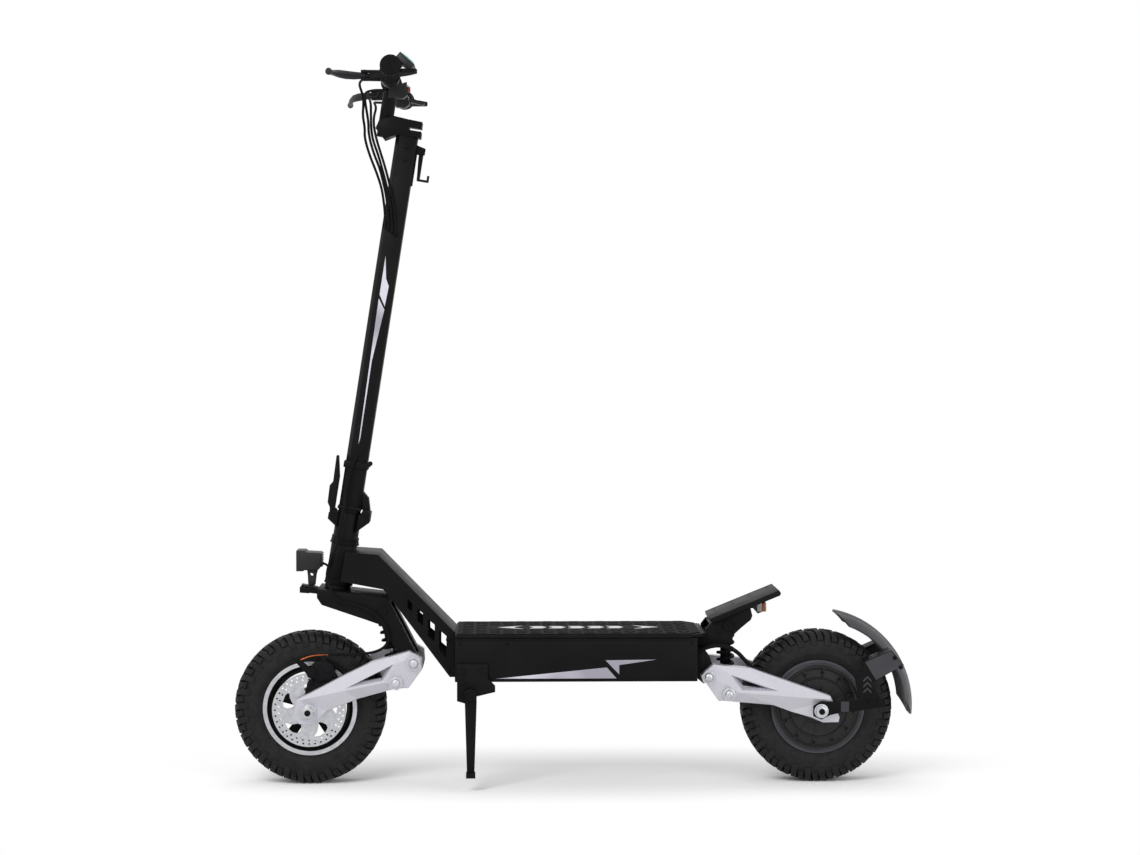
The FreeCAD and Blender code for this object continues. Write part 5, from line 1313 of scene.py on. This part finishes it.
class SCOOTER_OT_kickstand_trim(bpy.types.Operator):
    """Add the kickstand's bolts and its plate's screws."""
    bl_idname = "scooter.kickstand_trim"
    bl_label = "Kickstand trim"

    def execute(self, context):
        bm = bmesh.new()
        for x, z in ((-197, 208.8), (-160.8, 208.1), (-197.5, 187.0)):
            place = Vector((x, -109.8, z)) * MM
            add_rod(bm, place, place - Vector((0, 2.4, 0)) * MM, 4.0 * MM, 0.7 * MM, 32)
        finish_piece("kickstand_plate_screws", bm, "black_steel", "chassis")
        bm = bmesh.new()
        place = STAND_PIVOT - Vector((0, 4.6, 0)) * MM
        add_rod(bm, place, place - Vector((0, 3.2, 0)) * MM, 8.4 * MM, 1.0 * MM, 48)
        place = STAND_PIVOT + Vector((1.0, -4.6, -30)) * MM
        add_rod(bm, place, place - Vector((0, 2.6, 0)) * MM, 3.2 * MM, 0.6 * MM, 24)
        finish_piece("kickstand_bolts", bm, "black_steel", "kickstand")
        return {"FINISHED"}


class SCOOTER_OT_stage(bpy.types.Operator):
    """Set the camera, the lights, the white world and the floor."""
    bl_idname = "scooter.stage"
    bl_label = "Stage"

    def execute(self, context):
        scene = context.scene
        camera = bpy.data.cameras.new("studio_camera")
        camera.lens = 80.6
        camera.sensor_width = 36
        camera.clip_end = 200
        eye = bpy.data.objects.new("studio_camera", camera)
        eye.location = (-0.123, -4.5, 0.770)
        eye.rotation_euler = (math.radians(90 - 1.85), 0, math.radians(-1.46))
        scene.collection.objects.link(eye)
        scene.camera = eye
        for name, place, size, power in (("key", (-1.4, -2.8, 2.6), 1.8, 58), ("fill", (2.4, -2.8, 1.3), 2.0, 24),
                                         ("top", (0.2, 0.8, 3.6), 2.0, 9)):
            lamp = bpy.data.lights.new(name, "AREA")
            lamp.size = size
            lamp.energy = power
            item = bpy.data.objects.new(name, lamp)
            item.location = place
            item.rotation_euler = (Vector((0, 0, 0.5)) - Vector(place)).to_track_quat("-Z", "Y").to_euler()
            scene.collection.objects.link(item)
        world = bpy.data.worlds.new("white_world")
        scene.world = world
        world.use_nodes = True
        tree = world.node_tree
        back = tree.nodes["Background"]
        back.inputs["Color"].default_value = (1, 1, 1, 1)
        rays = add_node(tree, "ShaderNodeLightPath")
        some = add_node(tree, "ShaderNodeMath", {"operation": "MAXIMUM"}, None,
                        [(0, rays, "Is Camera Ray"), (1, rays, "Is Glossy Ray")])
        every = add_node(tree, "ShaderNodeMath", {"operation": "MAXIMUM"}, None,
                         [(0, some, 0), (1, rays, "Is Transmission Ray")])
        level = add_node(tree, "ShaderNodeMapRange", None, {"To Min": 0.46, "To Max": 1.0}, [("Value", every, 0)])
        tree.links.new(level.outputs["Result"], back.inputs["Strength"])
        bm = bmesh.new()
        bmesh.ops.create_grid(bm, x_segments=1, y_segments=1, size=60)
        mesh = bpy.data.meshes.new("studio_floor")
        bm.to_mesh(mesh)
        bm.free()
        floor = bpy.data.objects.new("studio_floor", mesh)
        floor.location = (0, 0, -0.0004)
        scene.collection.objects.link(floor)
        mesh.materials.append(self.floor_material())
        scene.view_settings.view_transform = "Standard"
        return {"FINISHED"}

    def floor_material(self):
        """Matt white board that fades to plain white away from the scooter and keeps its shadow."""
        material, tree, shader = new_material("matt_white_board", Base_Color=(0.98, 0.98, 0.98, 1), Roughness=0.9,
                                              Specular_IOR_Level=0.0)
        place = add_node(tree, "ShaderNodeTexCoord")
        oval = add_node(tree, "ShaderNodeMapping", None, {"Scale": (1 / 1.15, 1 / 0.4, 1)},
                        [("Vector", place, "Object")])
        length = add_node(tree, "ShaderNodeVectorMath", {"operation": "LENGTH"}, None, [(0, oval, "Vector")])
        fade = add_node(tree, "ShaderNodeMapRange", None, {"From Min": 0.42, "From Max": 1.0},
                        [("Value", length, "Value")])
        rays = add_node(tree, "ShaderNodeLightPath")
        some = add_node(tree, "ShaderNodeMath", {"operation": "MAXIMUM"}, None,
                        [(0, rays, "Is Camera Ray"), (1, rays, "Is Glossy Ray")])
        mask = add_node(tree, "ShaderNodeMath", {"operation": "MULTIPLY"}, None, [(0, fade, "Result"), (1, some, 0)])
        white = add_node(tree, "ShaderNodeEmission")
        board = add_node(tree, "ShaderNodeBsdfDiffuse", None, {"Color": (1.4, 1.4, 1.4, 1)})
        seen = add_node(tree, "ShaderNodeMixShader", None, None, [(0, some, 0), (1, shader, 0), (2, board, 0)])
        mix = add_node(tree, "ShaderNodeMixShader", None, None, [(0, mask, 0), (1, seen, 0), (2, white, 0)])
        tree.links.new(mix.outputs[0], tree.nodes["Material Output"].inputs["Surface"])
        return material


class SCOOTER_PT_panel(bpy.types.Panel):
    """Sizes, colours and the steps that build the scooter."""
    bl_idname = "SCOOTER_PT_panel"
    bl_label = "Kick scooter"
    bl_space_type = "VIEW_3D"
    bl_region_type = "UI"
    bl_category = "Scooter"

    def draw(self, context):
        for group in (context.scene.scooter_sizes, context.scene.scooter_colours):
            for name in group.__annotations__:
                self.layout.prop(group, name)
        for step in STEPS:
            self.layout.operator(step.bl_idname)


STEPS = (
    SCOOTER_OT_finishes, SCOOTER_OT_rounded_parts, SCOOTER_OT_tyres, SCOOTER_OT_wheels, SCOOTER_OT_arms,
    SCOOTER_OT_front_brake, SCOOTER_OT_levers, SCOOTER_OT_fender, SCOOTER_OT_shocks,
    SCOOTER_OT_fasteners, SCOOTER_OT_cables, SCOOTER_OT_grips, SCOOTER_OT_stem_trim, SCOOTER_OT_deck_trim,
    SCOOTER_OT_neck_trim, SCOOTER_OT_headlight, SCOOTER_OT_display, SCOOTER_OT_footrest, SCOOTER_OT_fender_trim,
    SCOOTER_OT_kickstand_trim, SCOOTER_OT_stage,
)


def register():
    for kind in (ScooterSizes, ScooterColours, *STEPS, SCOOTER_PT_panel):
        bpy.utils.register_class(kind)
    bpy.types.Scene.scooter_sizes = bpy.props.PointerProperty(type=ScooterSizes)
    bpy.types.Scene.scooter_colours = bpy.props.PointerProperty(type=ScooterColours)


def unregister():
    del bpy.types.Scene.scooter_colours
    del bpy.types.Scene.scooter_sizes
    for kind in (SCOOTER_PT_panel, *reversed(STEPS), ScooterColours, ScooterSizes):
        bpy.utils.unregister_class(kind)


def main():
    register()
    for step in STEPS:
        group, name = step.bl_idname.split(".")
        getattr(getattr(bpy.ops, group), name)()


if __name__ == "__main__":
    main()
